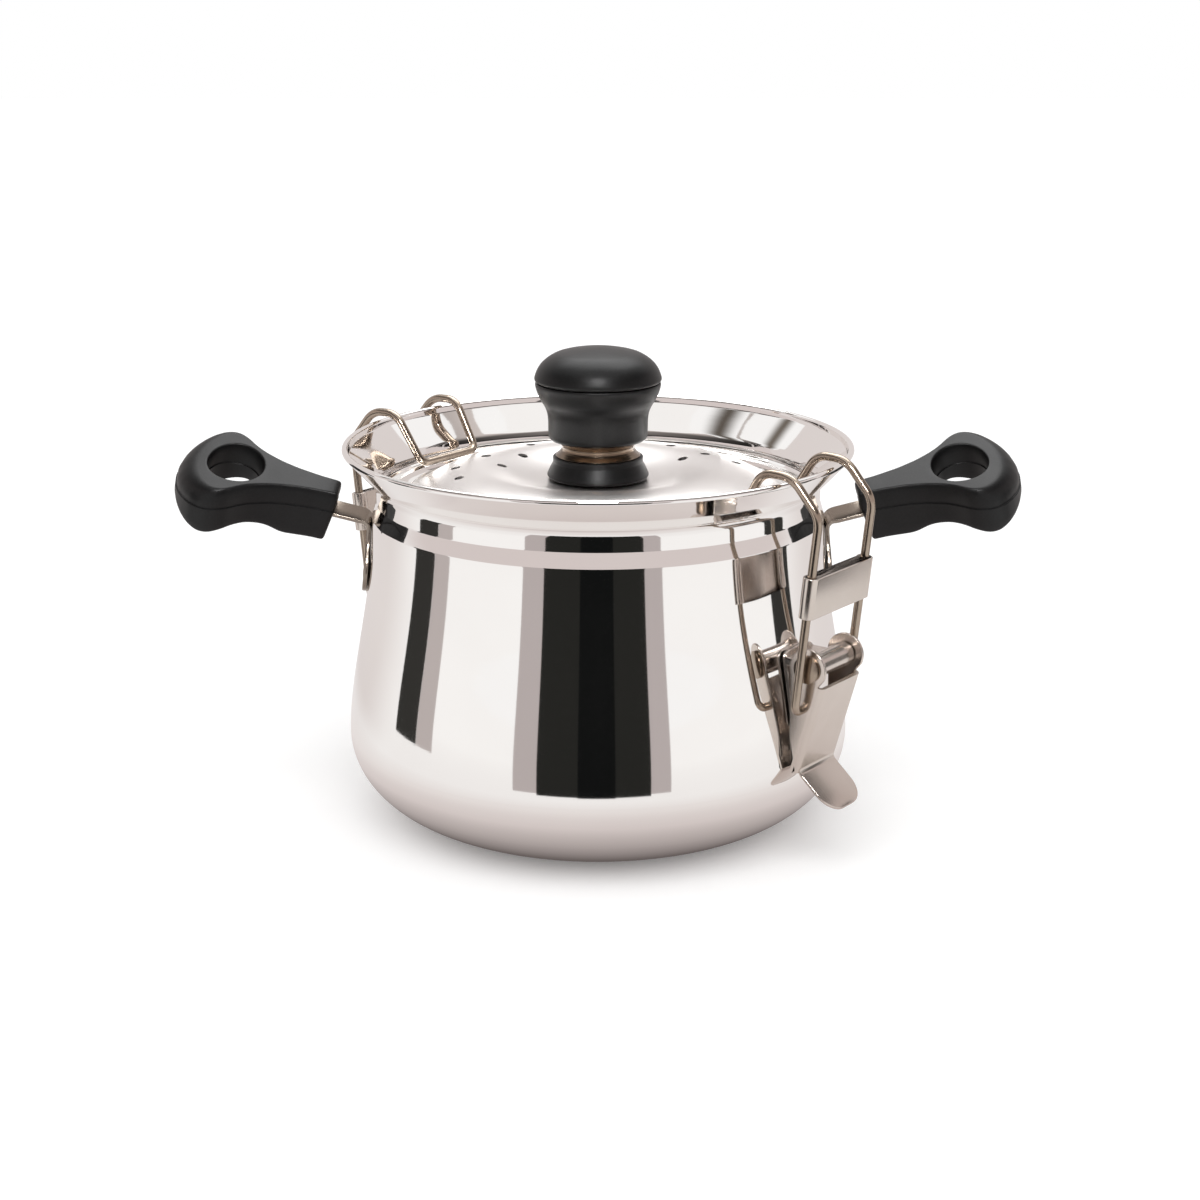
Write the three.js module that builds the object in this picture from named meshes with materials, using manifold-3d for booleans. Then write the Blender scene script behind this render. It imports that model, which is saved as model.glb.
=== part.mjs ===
// A round steel cooking pot with a strainer lid, two moulded side grips and two toggle latches.
// Millimetres, +Z up, the pot stands on z = 0 with its axis on Z, and its front looks along -Y.
import * as THREE from "three";
import { mergeVertices } from "three/addons/utils/BufferGeometryUtils.js";
import Module from "manifold-3d";

const wasm = await Module();
wasm.setup();

const radians = THREE.MathUtils.degToRad;
const lerp = THREE.MathUtils.lerp;
const v2 = (x, y) => new THREE.Vector2(x, y);
const v3 = (x, y, z) => new THREE.Vector3(x, y, z);
const ease = (s) => s * s * (3 - 2 * s);

// Clearances
const GAP = 0.3; // between two pieces that touch
const RUN = 0.3; // radial, a pin, wire or screw in its hole

// Pot body: radii, and the height of each stretch of its side
const TURN = 48; // segments of the turned sheet pieces
const SHEET = 1;
const FLAT_R = 51.5;
const BELLY_R = 90.8;
const BELLY_Z = 31;
const WALL_H = 79.5; // from the belly up to the shoulder
const WAIST_POWER = 0.9;
const NECK_R = 79.4;
const SHOULDER_OUT = 1.6; // beyond the neck
const SHOULDER_H = 5.3;
const NECK_H = 5.4;
const FLARE_H = 14.8;
const LIP_R = 91;
const BEAD_R = 1.1;
const SHOULDER_R = NECK_R + SHOULDER_OUT;
const SHOULDER_Z = BELLY_Z + WALL_H;
const NECK_LOW = SHOULDER_Z + SHOULDER_H;
const NECK_HIGH = NECK_LOW + NECK_H;
const LIP_TOP = NECK_HIGH + FLARE_H;
const NECK_IN = NECK_R - SHEET;

// Seat ring inside the neck
const LEDGE_W = 13.4; // from the neck's inside to the ring's inner edge
const SEAT_DROP = 3.4; // its flat, below the top of the neck
const COLLAR_H = 3.7;
const SEAT_R = NECK_IN - LEDGE_W;
const SEAT_TOP = NECK_HIGH - SEAT_DROP;

// Knob
const KNOB_TURN = 28;
const BASE_R = 18.25;
const BASE_H = 8.1;
const FERRULE_R = 15.2;
const FERRULE_H = 5.4;
const FERRULE_WAIST = 2.2; // how far its side is hollowed
const KNOB_R = 17.75;
const KNOB_H = 20.5;
const CAP_R = 22.65;
const CAP_H = 12.15;
// Cap's outline from its seam up to its middle: shares of its radius and of its height
const CAP_LINE = [
  [0.97, 0], [0.992, 0.035], [1, 0.09], [0.991, 0.165], [0.958, 0.33], [0.907, 0.485],
  [0.819, 0.645], [0.689, 0.795], [0.578, 0.864], [0.388, 0.938], [0.2, 0.983], [0, 1],
];
const SPIGOT_R = 8;
const SPIGOT_H = 5.5;
const INSERT_R = 5;
const INSERT_H = 14.2;
const SCREW_R = 2.4;
const HEAD_R = 4.6;
const HEAD_H = 3.1;
const WASHER_R = 7;
const WASHER_T = 1;

// Lid and strainer holes: rows by radius, azimuths in degrees from the front towards +X
const LID_ROOM = 10.2; // between the lid's edge and the neck, where the latch bars lie
const LID_SHEET = 0.9;
const LID_RISE = 4.8; // from the seat up to the flat under the knob
const LID_FLAT_OUT = 1.25; // of the flat, beyond the knob's base
const CROWN_IN = 26.2; // from the lid's edge to the top of the crown
const CROWN_H = 4.5;
const EDGE_DROP = 3.5; // from the flat under the knob down to the edge
const STRAIN_R = 1.8;
const ROW_IN = 17.2; // from the lid's edge to the outer row of holes
const ROW_STEP = 7;
const ROW_STEP_IN = 9;
const LID_R = NECK_IN - LID_ROOM;
const LID_CENTRE = SEAT_TOP + LID_RISE;
const LID_FLAT_R = BASE_R + LID_FLAT_OUT;
const CROWN_R = LID_R - CROWN_IN;
const STRAIN_ROWS = [
  { r: LID_R - ROW_IN, az: [-73, -91, -165, 170, 130, 101] },
  { r: LID_R - ROW_IN - ROW_STEP, az: [-112, -145, 180, 142, 117] },
  { r: LID_R - ROW_IN - ROW_STEP - ROW_STEP_IN, az: [-98, -128, -166, 160, 118] },
];

// Handles: the strap's tongue hangs from the shoulder, and the grip starts outside the wall
const STRAP_W = 8;
const STRAP_T = 1.6;
const TONGUE_W = 18;
const TONGUE_L = 23;
const TONGUE_DROP = 6.5; // its top, below the shoulder
const TANG = 25; // length of the strap inside the grip
const GRIP_OUT = 12.3; // from the shoulder's radius to the grip's inner end
const GRIP_RISE = 0.5; // of that point above the shoulder
const GRIP_TILT = radians(14.5);
const GRIP_ROLL = radians(26);
const RING_S = 38.8; // from the grip's inner end to the middle of the finger hole
const GRIP_L = 59.3;
const RING_W = 19.5; // half the ring's greatest width
const FINGER_R = 10;
const GRIP_UP = 10.2; // from the strap's middle to the top face
const GRIP_DOWN = 11.8;
const EDGE_UP = 6; // height of the top edge's rounding
const DROOP = 4.5; // of the tip, which bends down
const DROOP_S = 35; // where the bend starts
const END_LEAN = 3; // of the inner end, back towards its low edge
const GRIP_SCREW_S = 12;
const GRIP_SCREW_R = 1.9;
const GRIP_HEAD_R = 4;
const GRIP_HEAD_H = 2.7;
const GRIP_HEAD_UP = 3.9; // from the grip's underside to the seat of the screw's head
const THREAD_UP = 4.2; // from the strap's middle to the screw's end
const TONGUE_LOW = SHOULDER_Z - TONGUE_DROP - TONGUE_L;
const GRIP_AT = v3(SHOULDER_R + GRIP_OUT, 0, SHOULDER_Z + GRIP_RISE);

// Latches: every point is a radius from the pot's axis and a height
const LATCH_AZ = radians(53); // of the front one, from the front towards +X
const PIVOT_OUT = 6.7; // from the belly
const PIVOT_UP = 41.5;
const HOLE_IN = 2; // the wire's hole, from the pivot
const HOLE_DOWN = 14.7;
const WEB_OUT = 6; // the web's top, from the pivot
const WEB_DOWN = 6.3;
const HEEL_IN = 3.2; // the web's low end, from the pivot
const HEEL_DOWN = 38.1;
const TAB_SLOPE = radians(41);
const TAB_L = 18.6;
const TAB_W = 22;
const TAB_CORNER = 8;
const PLATE = 1.2;
const LEVER_W = 25.4;
const EAR_R = 7;
const PIN_R = 2;
const PIN_HEAD_R = 4.7;
const PIN_HEAD_T = 1.3;
const KNUCKLE_R = 4.1;
const FOOT_W = 18;
const FOOT_T = 1.5;
const FOOT_UP = 3; // above the pivot
const FOOT_DOWN = 24;
const ARM_T = 3;
const WIRE_R = 1.5;
const LEG_ROOM = 1.2; // between a pin head and the wire beside it
const BAR_IN = 1.6; // how far each end of the bar stands in from its leg
const ELBOW_OUT = 12.2; // the wire's bends, from the lip
const ELBOW_DOWN = 9.8;
const CREST_OVER = 1.5;
const CREST_UP = 2.6;
const CREST_BACK = 10;
const CREST_BACK_UP = 2.9;
const BAR_ROOM = 0.5; // between the bar and the lid's edge
const BAR_UP = 3.5; // above the seat ring
const CLIP_S = 41.5; // along the leg from the wire hole
const CLIP_H = 14.3;
const CLIP_T = 1;
const PIVOT = v2(BELLY_R + PIVOT_OUT, BELLY_Z + PIVOT_UP);
const WIRE_HOLE = v2(PIVOT.x - HOLE_IN, PIVOT.y - HOLE_DOWN);
const WEB_TOP = v2(PIVOT.x + WEB_OUT, PIVOT.y - WEB_DOWN);
const WEB_LOW = v2(PIVOT.x - HEEL_IN, PIVOT.y - HEEL_DOWN);
const LEG_W = LEVER_W + 2 * (GAP + PIN_HEAD_T + LEG_ROOM + WIRE_R); // between the middles of the two legs
const BAR_W = LEG_W - 2 * BAR_IN;
const ELBOW = v2(LIP_R + ELBOW_OUT, LIP_TOP - ELBOW_DOWN);
const CREST_OUT = v2(LIP_R + CREST_OVER, LIP_TOP + CREST_UP);
const CREST_IN = v2(LIP_R - CREST_BACK, LIP_TOP + CREST_BACK_UP);
const BAR = v2(LID_R + WIRE_R + BAR_ROOM, SEAT_TOP + BAR_UP);

const STEEL = { color: 0xd6cecb, roughness: 0.12, metalness: 1 };
const SATIN = { color: 0xcfc6bd, roughness: 0.3, metalness: 1 };
const WIRE = { color: 0xb9ab9c, roughness: 0.2, metalness: 1 };
const BRASS = { color: 0xb8995a, roughness: 0.35, metalness: 1 };
const BLACK = { color: 0x1f1f20, roughness: 0.45, metalness: 0 };

// One closed body from any geometry: vertices shared, empty triangles dropped, faces turned out.
function closed(geometry) {
  const bare = geometry.clone();
  bare.deleteAttribute("normal");
  bare.deleteAttribute("uv");
  const g = mergeVertices(bare, 1e-4);
  const corner = [v3(0, 0, 0), v3(0, 0, 0), v3(0, 0, 0)];
  const kept = [];
  let volume = 0;
  for (let i = 0; i < g.index.count; i += 3) {
    const face = [0, 1, 2].map((k) => g.index.getX(i + k));
    if (new Set(face).size < 3) continue;
    kept.push(...face);
    corner.forEach((p, k) => p.fromBufferAttribute(g.attributes.position, face[k]));
    volume += corner[0].dot(corner[1].cross(corner[2]));
  }
  if (volume < 0) kept.reverse();
  g.setIndex(kept);
  return g;
}

function toSolid(geometry) {
  const g = closed(geometry);
  const vertProperties = new Float32Array(g.attributes.position.array);
  const triVerts = new Uint32Array(g.index.array);
  return new wasm.Manifold(new wasm.Mesh({ numProp: 3, vertProperties, triVerts }));
}

// The first geometry joined with the added ones, less the cut ones.
function shape(first, added = [], cuts = []) {
  let solid = toSolid(first);
  for (const g of added) solid = solid.add(toSolid(g));
  for (const g of cuts) solid = solid.subtract(toSolid(g));
  const mesh = solid.getMesh();
  const g = new THREE.BufferGeometry();
  g.setAttribute("position", new THREE.BufferAttribute(mesh.vertProperties, 3));
  g.setIndex(Array.from(mesh.triVerts));
  return g;
}

// A profile of [radius, height] pairs turned about Z; one that is clear of the axis is closed on itself.
function turned(profile, segments) {
  const ring = profile[0][0] > 0;
  const points = ring ? [...profile, profile[0]] : profile;
  const lathe = new THREE.LatheGeometry(points.map(([r, z]) => v2(r, z)), segments);
  return closed(lathe.rotateX(Math.PI / 2));
}

// A rod along Z between two heights, centred on (x, y).
function rod(radius, low, high, x = 0, y = 0, segments = 16) {
  const g = new THREE.CylinderGeometry(radius, radius, high - low, segments);
  return g.rotateX(Math.PI / 2).translate(x, y, (low + high) / 2);
}

// A rod along Y in a latch, centred on a point of the latch's side view.
function crossRod(radius, from, to, at, segments = 16) {
  const g = new THREE.CylinderGeometry(radius, radius, to - from, segments);
  return g.translate(at.x, (from + to) / 2, at.y);
}

// A plate between two values of Y, with an outline of [x, z] pairs or points.
function sidePlate(outline, from, to) {
  const flat = new THREE.Shape(outline.map((p) => (p.isVector2 ? p.clone() : v2(...p))));
  const g = new THREE.ExtrudeGeometry(flat, { depth: to - from, bevelEnabled: false });
  return g.rotateX(Math.PI / 2).translate(0, to, 0);
}

// A skin over rows of points that all have the same count, closed by a fan at each end.
function lofted(rows) {
  const count = rows[0].length;
  const points = rows.flat();
  const index = [];
  const at = (k, i) => k * count + (i % count);
  for (let k = 0; k + 1 < rows.length; k++)
    for (let i = 0; i < count; i++) {
      index.push(at(k, i), at(k, i + 1), at(k + 1, i + 1));
      index.push(at(k, i), at(k + 1, i + 1), at(k + 1, i));
    }
  for (const k of [0, rows.length - 1]) {
    const middle = rows[k].reduce((sum, p) => sum.add(p), v3(0, 0, 0)).divideScalar(count);
    points.push(middle);
    for (let i = 0; i < count; i++) {
      const pair = k === 0 ? [at(k, i + 1), at(k, i)] : [at(k, i), at(k, i + 1)];
      index.push(points.length - 1, ...pair);
    }
  }
  return closed(new THREE.BufferGeometry().setFromPoints(points).setIndex(index));
}

// The corner points of a path, with each inner corner rounded to its own radius.
function rounded(corners, radii, steps) {
  const path = [corners[0]];
  for (let i = 1; i + 1 < corners.length; i++) {
    const back = corners[i - 1].clone().sub(corners[i]).normalize();
    const on = corners[i + 1].clone().sub(corners[i]).normalize();
    const half = back.angleTo(on) / 2;
    const reach = radii[i - 1] / Math.tan(half);
    const middle = back.clone().add(on).normalize();
    const centre = corners[i].clone().addScaledVector(middle, radii[i - 1] / Math.sin(half));
    const first = corners[i].clone().addScaledVector(back, reach).sub(centre);
    const last = corners[i].clone().addScaledVector(on, reach).sub(centre);
    const axis = first.clone().cross(last).normalize();
    const sweep = first.angleTo(last);
    for (let k = 0; k <= steps; k++)
      path.push(first.clone().applyAxisAngle(axis, (sweep * k) / steps).add(centre));
  }
  path.push(corners[corners.length - 1]);
  return path;
}

// A curve through the points of a path, which a tube follows with one step from point to point.
class BentPath extends THREE.Curve {
  constructor(points) {
    super();
    this.points = points;
  }

  getPointAt(u, target = v3(0, 0, 0)) {
    const last = this.points.length - 1;
    const k = Math.min(Math.floor(u * last + 1e-6), last - 1);
    return target.lerpVectors(this.points[k], this.points[k + 1], u * last - k);
  }

  getTangentAt(u, target = v3(0, 0, 0)) {
    const last = this.points.length - 1;
    const k = Math.round(u * last);
    const before = this.points[Math.max(k - 1, 0)];
    return target.subVectors(this.points[Math.min(k + 1, last)], before).normalize();
  }
}

function tube(path, radius, sides) {
  const section = new THREE.Shape();
  for (let k = 0; k < sides; k++) {
    const a = (2 * Math.PI * k) / sides;
    section[k ? "lineTo" : "moveTo"](radius * Math.cos(a), radius * Math.sin(a));
  }
  const extrudePath = new BentPath(path);
  const steps = path.length - 1;
  return closed(new THREE.ExtrudeGeometry(section, { steps, extrudePath }));
}

function piece(name, geometry, look) {
  const mesh = new THREE.Mesh(geometry, new THREE.MeshStandardMaterial(look));
  mesh.name = name;
  return mesh;
}

// Outer radius of the pot's wall at a height between the belly and the shoulder.
function wallR(z) {
  const s = Math.pow((z - BELLY_Z) / WALL_H, WAIST_POWER);
  return lerp(BELLY_R, SHOULDER_R, ease(s));
}

// The outer profile from the middle of the bottom up over the lip, then the inner one back down.
function potBody() {
  const outer = [[0, 0]];
  const inner = [[0, SHEET]];
  const bowl = BELLY_R - FLAT_R;
  for (let k = 0; k <= 6; k++) {
    const a = (k / 6) * (Math.PI / 2);
    outer.push([FLAT_R + bowl * Math.sin(a), BELLY_Z * (1 - Math.cos(a))]);
    inner.push([FLAT_R + (bowl - SHEET) * Math.sin(a), BELLY_Z - (BELLY_Z - SHEET) * Math.cos(a)]);
  }
  for (let k = 1; k <= 6; k++) {
    const z = BELLY_Z + (WALL_H * k) / 6;
    outer.push([wallR(z), z]);
    inner.push([wallR(z) - SHEET, z]);
  }
  const bead = [LIP_R - BEAD_R, LIP_TOP - BEAD_R];
  const foot = [NECK_R + 0.9, NECK_HIGH + 2];
  const brim = [bead[0] - 0.7, bead[1] - 2.3];
  outer.push([NECK_R, NECK_LOW], [NECK_R, NECK_HIGH], foot, brim);
  inner.push([NECK_IN, NECK_LOW + 0.4 * SHEET], [NECK_IN, NECK_HIGH + 0.3 * SHEET]);
  for (const [r, z] of [foot, brim]) inner.push([r - 0.75 * SHEET, z + 0.75 * SHEET]);
  for (const a of [-50, 0, 45, 90, 135, 180]) {
    const t = radians(a);
    outer.push([bead[0] + BEAD_R * Math.cos(t), bead[1] + BEAD_R * Math.sin(t)]);
  }
  return turned([...outer, ...inner.reverse()], TURN);
}

function seatRing() {
  const out = NECK_IN - GAP;
  const top = [[SEAT_R, SEAT_TOP], [out - 3.6, SEAT_TOP + 0.3]];
  top.push([out - 1.1, SEAT_TOP + 1.1], [out, SEAT_TOP + 1.9]);
  const low = SEAT_TOP - COLLAR_H;
  const under = [[out, low], [out - SHEET, low], [out - SHEET, SEAT_TOP + 0.3]];
  under.push([out - 3.5, SEAT_TOP + 0.3 - SHEET], [SEAT_R, SEAT_TOP - SHEET]);
  return turned([...top, ...under], TURN);
}

// Upper side of the lid, from the screw hole outwards: a flat, a crown and a level edge.
function lidTop() {
  const brim = LID_R - 3;
  const low = LID_CENTRE - EDGE_DROP + 0.5;
  const top = [[SCREW_R + RUN, LID_CENTRE], [LID_FLAT_R, LID_CENTRE]];
  for (const f of [0.25, 0.5, 0.75, 1])
    top.push([lerp(LID_FLAT_R, CROWN_R, f), LID_CENTRE + CROWN_H * ease(f)]);
  for (const f of [0.25, 0.45, 0.65, 0.85, 1])
    top.push([lerp(CROWN_R, brim, f), lerp(LID_CENTRE + CROWN_H, low, Math.pow(f, 2.1))]);
  top.push([LID_R - 0.4, low - 0.4], [LID_R, low - 0.7]);
  return top;
}

function lid() {
  const top = lidTop();
  const under = top.map(([r, z]) => [r, Math.max(z - LID_SHEET, SEAT_TOP + 1.5 * GAP)]);
  const holes = STRAIN_ROWS.flatMap(({ r, az }) =>
    az.map((a) => {
      const t = radians(a);
      return rod(STRAIN_R, SEAT_TOP - 5, LID_CENTRE + CROWN_H + 5, r * Math.sin(t), -r * Math.cos(t), 10);
    }),
  );
  return shape(turned([...top, ...under.reverse()], TURN), [], holes);
}

// The knob from its base up, with the screw and washer that hold it from beneath the lid.
function knob() {
  const bore = SCREW_R + RUN;
  const stand = LID_CENTRE + GAP;
  const baseTop = stand + BASE_H;
  const ferruleLow = baseTop + GAP;
  const ferruleTop = ferruleLow + FERRULE_H;
  const low = ferruleTop + GAP;
  const seam = low + KNOB_H;
  const capLow = seam + GAP;
  const insertLow = low + GAP;
  const insertTop = insertLow + INSERT_H;
  const washerTop = LID_CENTRE - LID_SHEET - GAP;
  const headTop = washerTop - WASHER_T - GAP;
  const pocket = INSERT_R + GAP;
  const base = [[bore, stand], [BASE_R - 2.6, stand], [BASE_R - 0.6, stand + 0.4], [BASE_R, stand + 1.3]];
  base.push([BASE_R - 0.65, stand + 2.9], [BASE_R - 1.4, stand + 4.4], [BASE_R - 2.2, stand + 6]);
  base.push([BASE_R - 2.1, baseTop - 0.4], [BASE_R - 2.5, baseTop], [bore, baseTop]);
  const ferrule = [[bore, ferruleLow], [FERRULE_R, ferruleLow]];
  for (const f of [0.25, 0.5, 0.75])
    ferrule.push([FERRULE_R - FERRULE_WAIST * Math.sin(Math.PI * f), ferruleLow + FERRULE_H * f]);
  ferrule.push([FERRULE_R, ferruleTop], [bore, ferruleTop]);
  const grip = [[pocket, low], [KNOB_R - 1.1, low], [KNOB_R - 0.2, low + 0.7], [KNOB_R, low + 3]];
  grip.push([KNOB_R, low + 7], [KNOB_R + 0.35, low + 9.8], [KNOB_R + 1.2, low + 12]);
  grip.push([KNOB_R + 2.6, low + 14.1], [CAP_R - 1.25, seam - 4.2], [CAP_R - 0.5, seam - 2]);
  grip.push([CAP_R - 0.25, seam - 0.5], [CAP_R - 0.6, seam], [SPIGOT_R, seam]);
  grip.push([SPIGOT_R, seam + SPIGOT_H], [0, seam + SPIGOT_H]);
  grip.push([0, insertTop + GAP], [pocket, insertTop + GAP]);
  const roof = seam + SPIGOT_H + GAP;
  const cap = [[0, roof], [SPIGOT_R + GAP, roof], [SPIGOT_R + GAP, capLow]];
  for (const [r, h] of CAP_LINE) cap.push([CAP_R * r, capLow + CAP_H * h]);
  const insert = [[bore, insertLow], [INSERT_R, insertLow], [INSERT_R, insertTop], [bore, insertTop]];
  const washer = [[bore, washerTop - WASHER_T], [WASHER_R, washerTop - WASHER_T]];
  washer.push([WASHER_R, washerTop], [bore, washerTop]);
  const headLow = headTop - HEAD_H;
  const screw = [[0, headLow], [HEAD_R - 1.2, headLow], [HEAD_R, headLow + HEAD_H / 2], [HEAD_R, headTop]];
  screw.push([SCREW_R, headTop], [SCREW_R, insertTop - 1], [0, insertTop - 1]);
  return [
    piece("knob_base", turned(base, KNOB_TURN), BLACK),
    piece("knob_ferrule", turned(ferrule, KNOB_TURN), WIRE),
    piece("knob_grip", turned(grip, KNOB_TURN), BLACK),
    piece("knob_cap", turned(cap, KNOB_TURN), BLACK),
    piece("knob_insert", turned(insert, KNOB_TURN), BRASS),
    piece("knob_washer", turned(washer, KNOB_TURN), SATIN),
    piece("knob_screw", turned(screw, KNOB_TURN), SATIN),
  ];
}

// From the grip's own frame (X outwards, Z up through its top face) to its place on one side.
function gripPlace(side) {
  const out = v3(side * Math.cos(GRIP_TILT), 0, Math.sin(GRIP_TILT));
  const level = v3(-side * Math.sin(GRIP_TILT), 0, Math.cos(GRIP_TILT));
  const up = level.applyAxisAngle(out, side * GRIP_ROLL);
  const m = new THREE.Matrix4().makeBasis(out, up.clone().cross(out), up);
  return m.setPosition(side * GRIP_AT.x, GRIP_AT.y, GRIP_AT.z);
}

// Widths of the tongue along its length, from its low end up, as shares of its greatest width.
const TONGUE_FORM = [
  [0, 0.25],
  [0.03, 0.48],
  [0.12, 0.76],
  [0.25, 0.95],
  [0.38, 1],
  [0.51, 0.95],
  [0.64, 0.76],
  [0.78, 0.53],
];

// The strap of one side: a tongue up the wall, a bend, and a bar that rolls into the grip's own plane.
function strap(side) {
  const off = GAP + STRAP_T / 2;
  const low = v3(wallR(TONGUE_LOW) + off, 0, TONGUE_LOW);
  const high = v3(wallR(TONGUE_LOW + TONGUE_L) + off, 0, TONGUE_LOW + TONGUE_L);
  const lean = high.clone().sub(low).normalize();
  const tilt = v3(Math.cos(GRIP_TILT), 0, Math.sin(GRIP_TILT));
  const across = v3(0, -1, 0);
  const gone = GRIP_AT.clone().sub(low);
  const back = gone.clone().cross(lean).y / tilt.clone().cross(lean).y;
  const corner = GRIP_AT.clone().addScaledVector(tilt, -back);
  const stations = TONGUE_FORM.map(([f, w]) => {
    return { at: low.clone().lerp(high, f), along: lean, width: Math.max(w * TONGUE_W, 2), roll: 0 };
  });
  const start = low.clone().lerp(high, 0.9);
  stations.push({ at: start, along: lean, width: STRAP_W, roll: 0 });
  const bend = rounded([start, corner, GRIP_AT], [2.2 * STRAP_T], 5);
  for (let k = 1; k + 1 < bend.length; k++) {
    const along = bend[k + 1].clone().sub(bend[k - 1]).normalize();
    stations.push({ at: bend[k], along, width: STRAP_W, roll: 0 });
  }
  for (const f of [0.25, 0.5, 0.75]) {
    const at = bend.at(-2).clone().lerp(GRIP_AT, f);
    stations.push({ at, along: tilt, width: STRAP_W, roll: GRIP_ROLL * ease(f) });
  }
  for (const s of [-GAP, TANG]) {
    const at = GRIP_AT.clone().addScaledVector(tilt, s);
    stations.push({ at, along: tilt, width: STRAP_W, roll: GRIP_ROLL });
  }
  const rows = stations.map(({ at, along, width, roll }) => {
    const wide = across.clone().applyAxisAngle(along, roll);
    const thick = wide.clone().cross(along);
    return [[1, 1], [-1, 1], [-1, -1], [1, -1]].map(([a, b]) => {
      const p = at.clone().addScaledVector(wide, (a * width) / 2);
      p.addScaledVector(thick, (b * STRAP_T) / 2);
      return v3(side * p.x, p.y, p.z);
    });
  });
  const hole = rod(GRIP_SCREW_R + RUN, -2 * STRAP_T, 2 * STRAP_T, GRIP_SCREW_S);
  return shape(lofted(rows), [], [hole.applyMatrix4(gripPlace(side))]);
}

// The grip's plan from its inner end to its tip, as shares of its length and of the ring's half width:
// the outline, then the outline of the flat top.
const GRIP_PLAN = [
  [0, 0.285, 0.027, 0.165],
  [0.144, 0.295, 0.144, 0.185],
  [0.294, 0.36, 0.294, 0.245],
  [0.401, 0.445, 0.401, 0.325],
  [0.477, 0.545, 0.477, 0.41],
  [0.527, 0.62, 0.527, 0.48],
  [0.577, 0.73, 0.577, 0.57],
  [0.639, 0.89, 0.632, 0.71],
  [0.691, 0.97, 0.679, 0.8],
  [0.744, 1, 0.724, 0.815],
  [0.803, 0.965, 0.766, 0.76],
  [0.861, 0.86, 0.803, 0.66],
  [0.911, 0.71, 0.833, 0.53],
  [0.953, 0.53, 0.856, 0.38],
  [0.983, 0.32, 0.87, 0.22],
  [1, 0, 0.878, 0],
];

// Its underside along its length, as shares of its length and depth.
const GRIP_UNDER = [
  [0.3, 1],
  [0.335, 0.92],
  [0.385, 0.77],
  [0.443, 0.65],
  [0.518, 0.59],
  [0.594, 0.6],
  [0.661, 0.7],
  [0.719, 0.8],
  [0.786, 0.85],
  [0.863, 0.8],
  [0.92, 0.7],
  [0.97, 0.54],
  [1.02, 0.3],
];

// The grip's outline and the outline of its flat top, point for point, all the way round.
function gripPlan() {
  const at = (s, w) => [s * GRIP_L, w * RING_W];
  const half = GRIP_PLAN.map(([s, w, flatS, flatW]) => ({ full: at(s, w), flat: at(flatS, flatW) }));
  const flip = ([s, w]) => [s, -w];
  const other = half.slice(0, -1).reverse();
  return [...half, ...other.map(({ full, flat }) => ({ full: flip(full), flat: flip(flat) }))];
}

function grip(side) {
  const plan = gripPlan();
  const droop = (s) => DROOP * Math.pow(Math.max(s - DROOP_S, 0) / (GRIP_L - DROOP_S), 2);
  const lean = (z) => (END_LEAN * (GRIP_UP - z)) / (GRIP_UP + GRIP_DOWN);
  const level = (z, inset) =>
    plan.map(({ full, flat }, i) => {
      const end = i === 0 || i === plan.length - 1;
      const s = lerp(full[0], flat[0], inset) + (end ? lean(z) : 0);
      return v3(s, lerp(full[1], flat[1], inset), z - droop(s));
    });
  const rows = [level(-GRIP_DOWN, 0.25), level(1.2 - GRIP_DOWN, 0)];
  for (const a of [0, 30, 60, 90]) {
    const t = radians(a);
    rows.push(level(GRIP_UP - EDGE_UP * (1 - Math.sin(t)), 1 - Math.cos(t)));
  }
  const under = GRIP_UNDER.map(([s, z]) => [s * GRIP_L, -z * GRIP_DOWN]);
  under[0][1] -= 0.01;
  under.push([1.1 * GRIP_L, -3 * GRIP_DOWN], [under[0][0], -3 * GRIP_DOWN]);
  const slot = new THREE.BoxGeometry(TANG + GAP + 1, STRAP_W + 2 * GAP, STRAP_T + 2 * GAP);
  slot.translate((TANG + GAP - 1) / 2, 0, 0);
  const seat = GRIP_HEAD_UP + GAP - GRIP_DOWN;
  const cuts = [
    rod(FINGER_R, -2 * GRIP_DOWN, 2 * GRIP_UP, RING_S, 0, 28),
    sidePlate(under, -2 * RING_W, 2 * RING_W),
    slot,
    rod(GRIP_SCREW_R + RUN, -GRIP_DOWN, THREAD_UP + GAP, GRIP_SCREW_S),
    rod(GRIP_HEAD_R + RUN, -2 * GRIP_DOWN, seat, GRIP_SCREW_S),
  ];
  return shape(lofted(rows), [], cuts).applyMatrix4(gripPlace(side));
}

function gripScrew(side) {
  const seat = GRIP_HEAD_UP - GRIP_DOWN;
  const low = seat - GRIP_HEAD_H;
  const head = [[0, low], [GRIP_HEAD_R - 0.9, low], [GRIP_HEAD_R, low + GRIP_HEAD_H / 2]];
  head.push([GRIP_HEAD_R, seat]);
  head.push([GRIP_SCREW_R, seat], [GRIP_SCREW_R, THREAD_UP], [0, THREAD_UP]);
  return turned(head, 16).translate(GRIP_SCREW_S, 0, 0).applyMatrix4(gripPlace(side));
}

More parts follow.
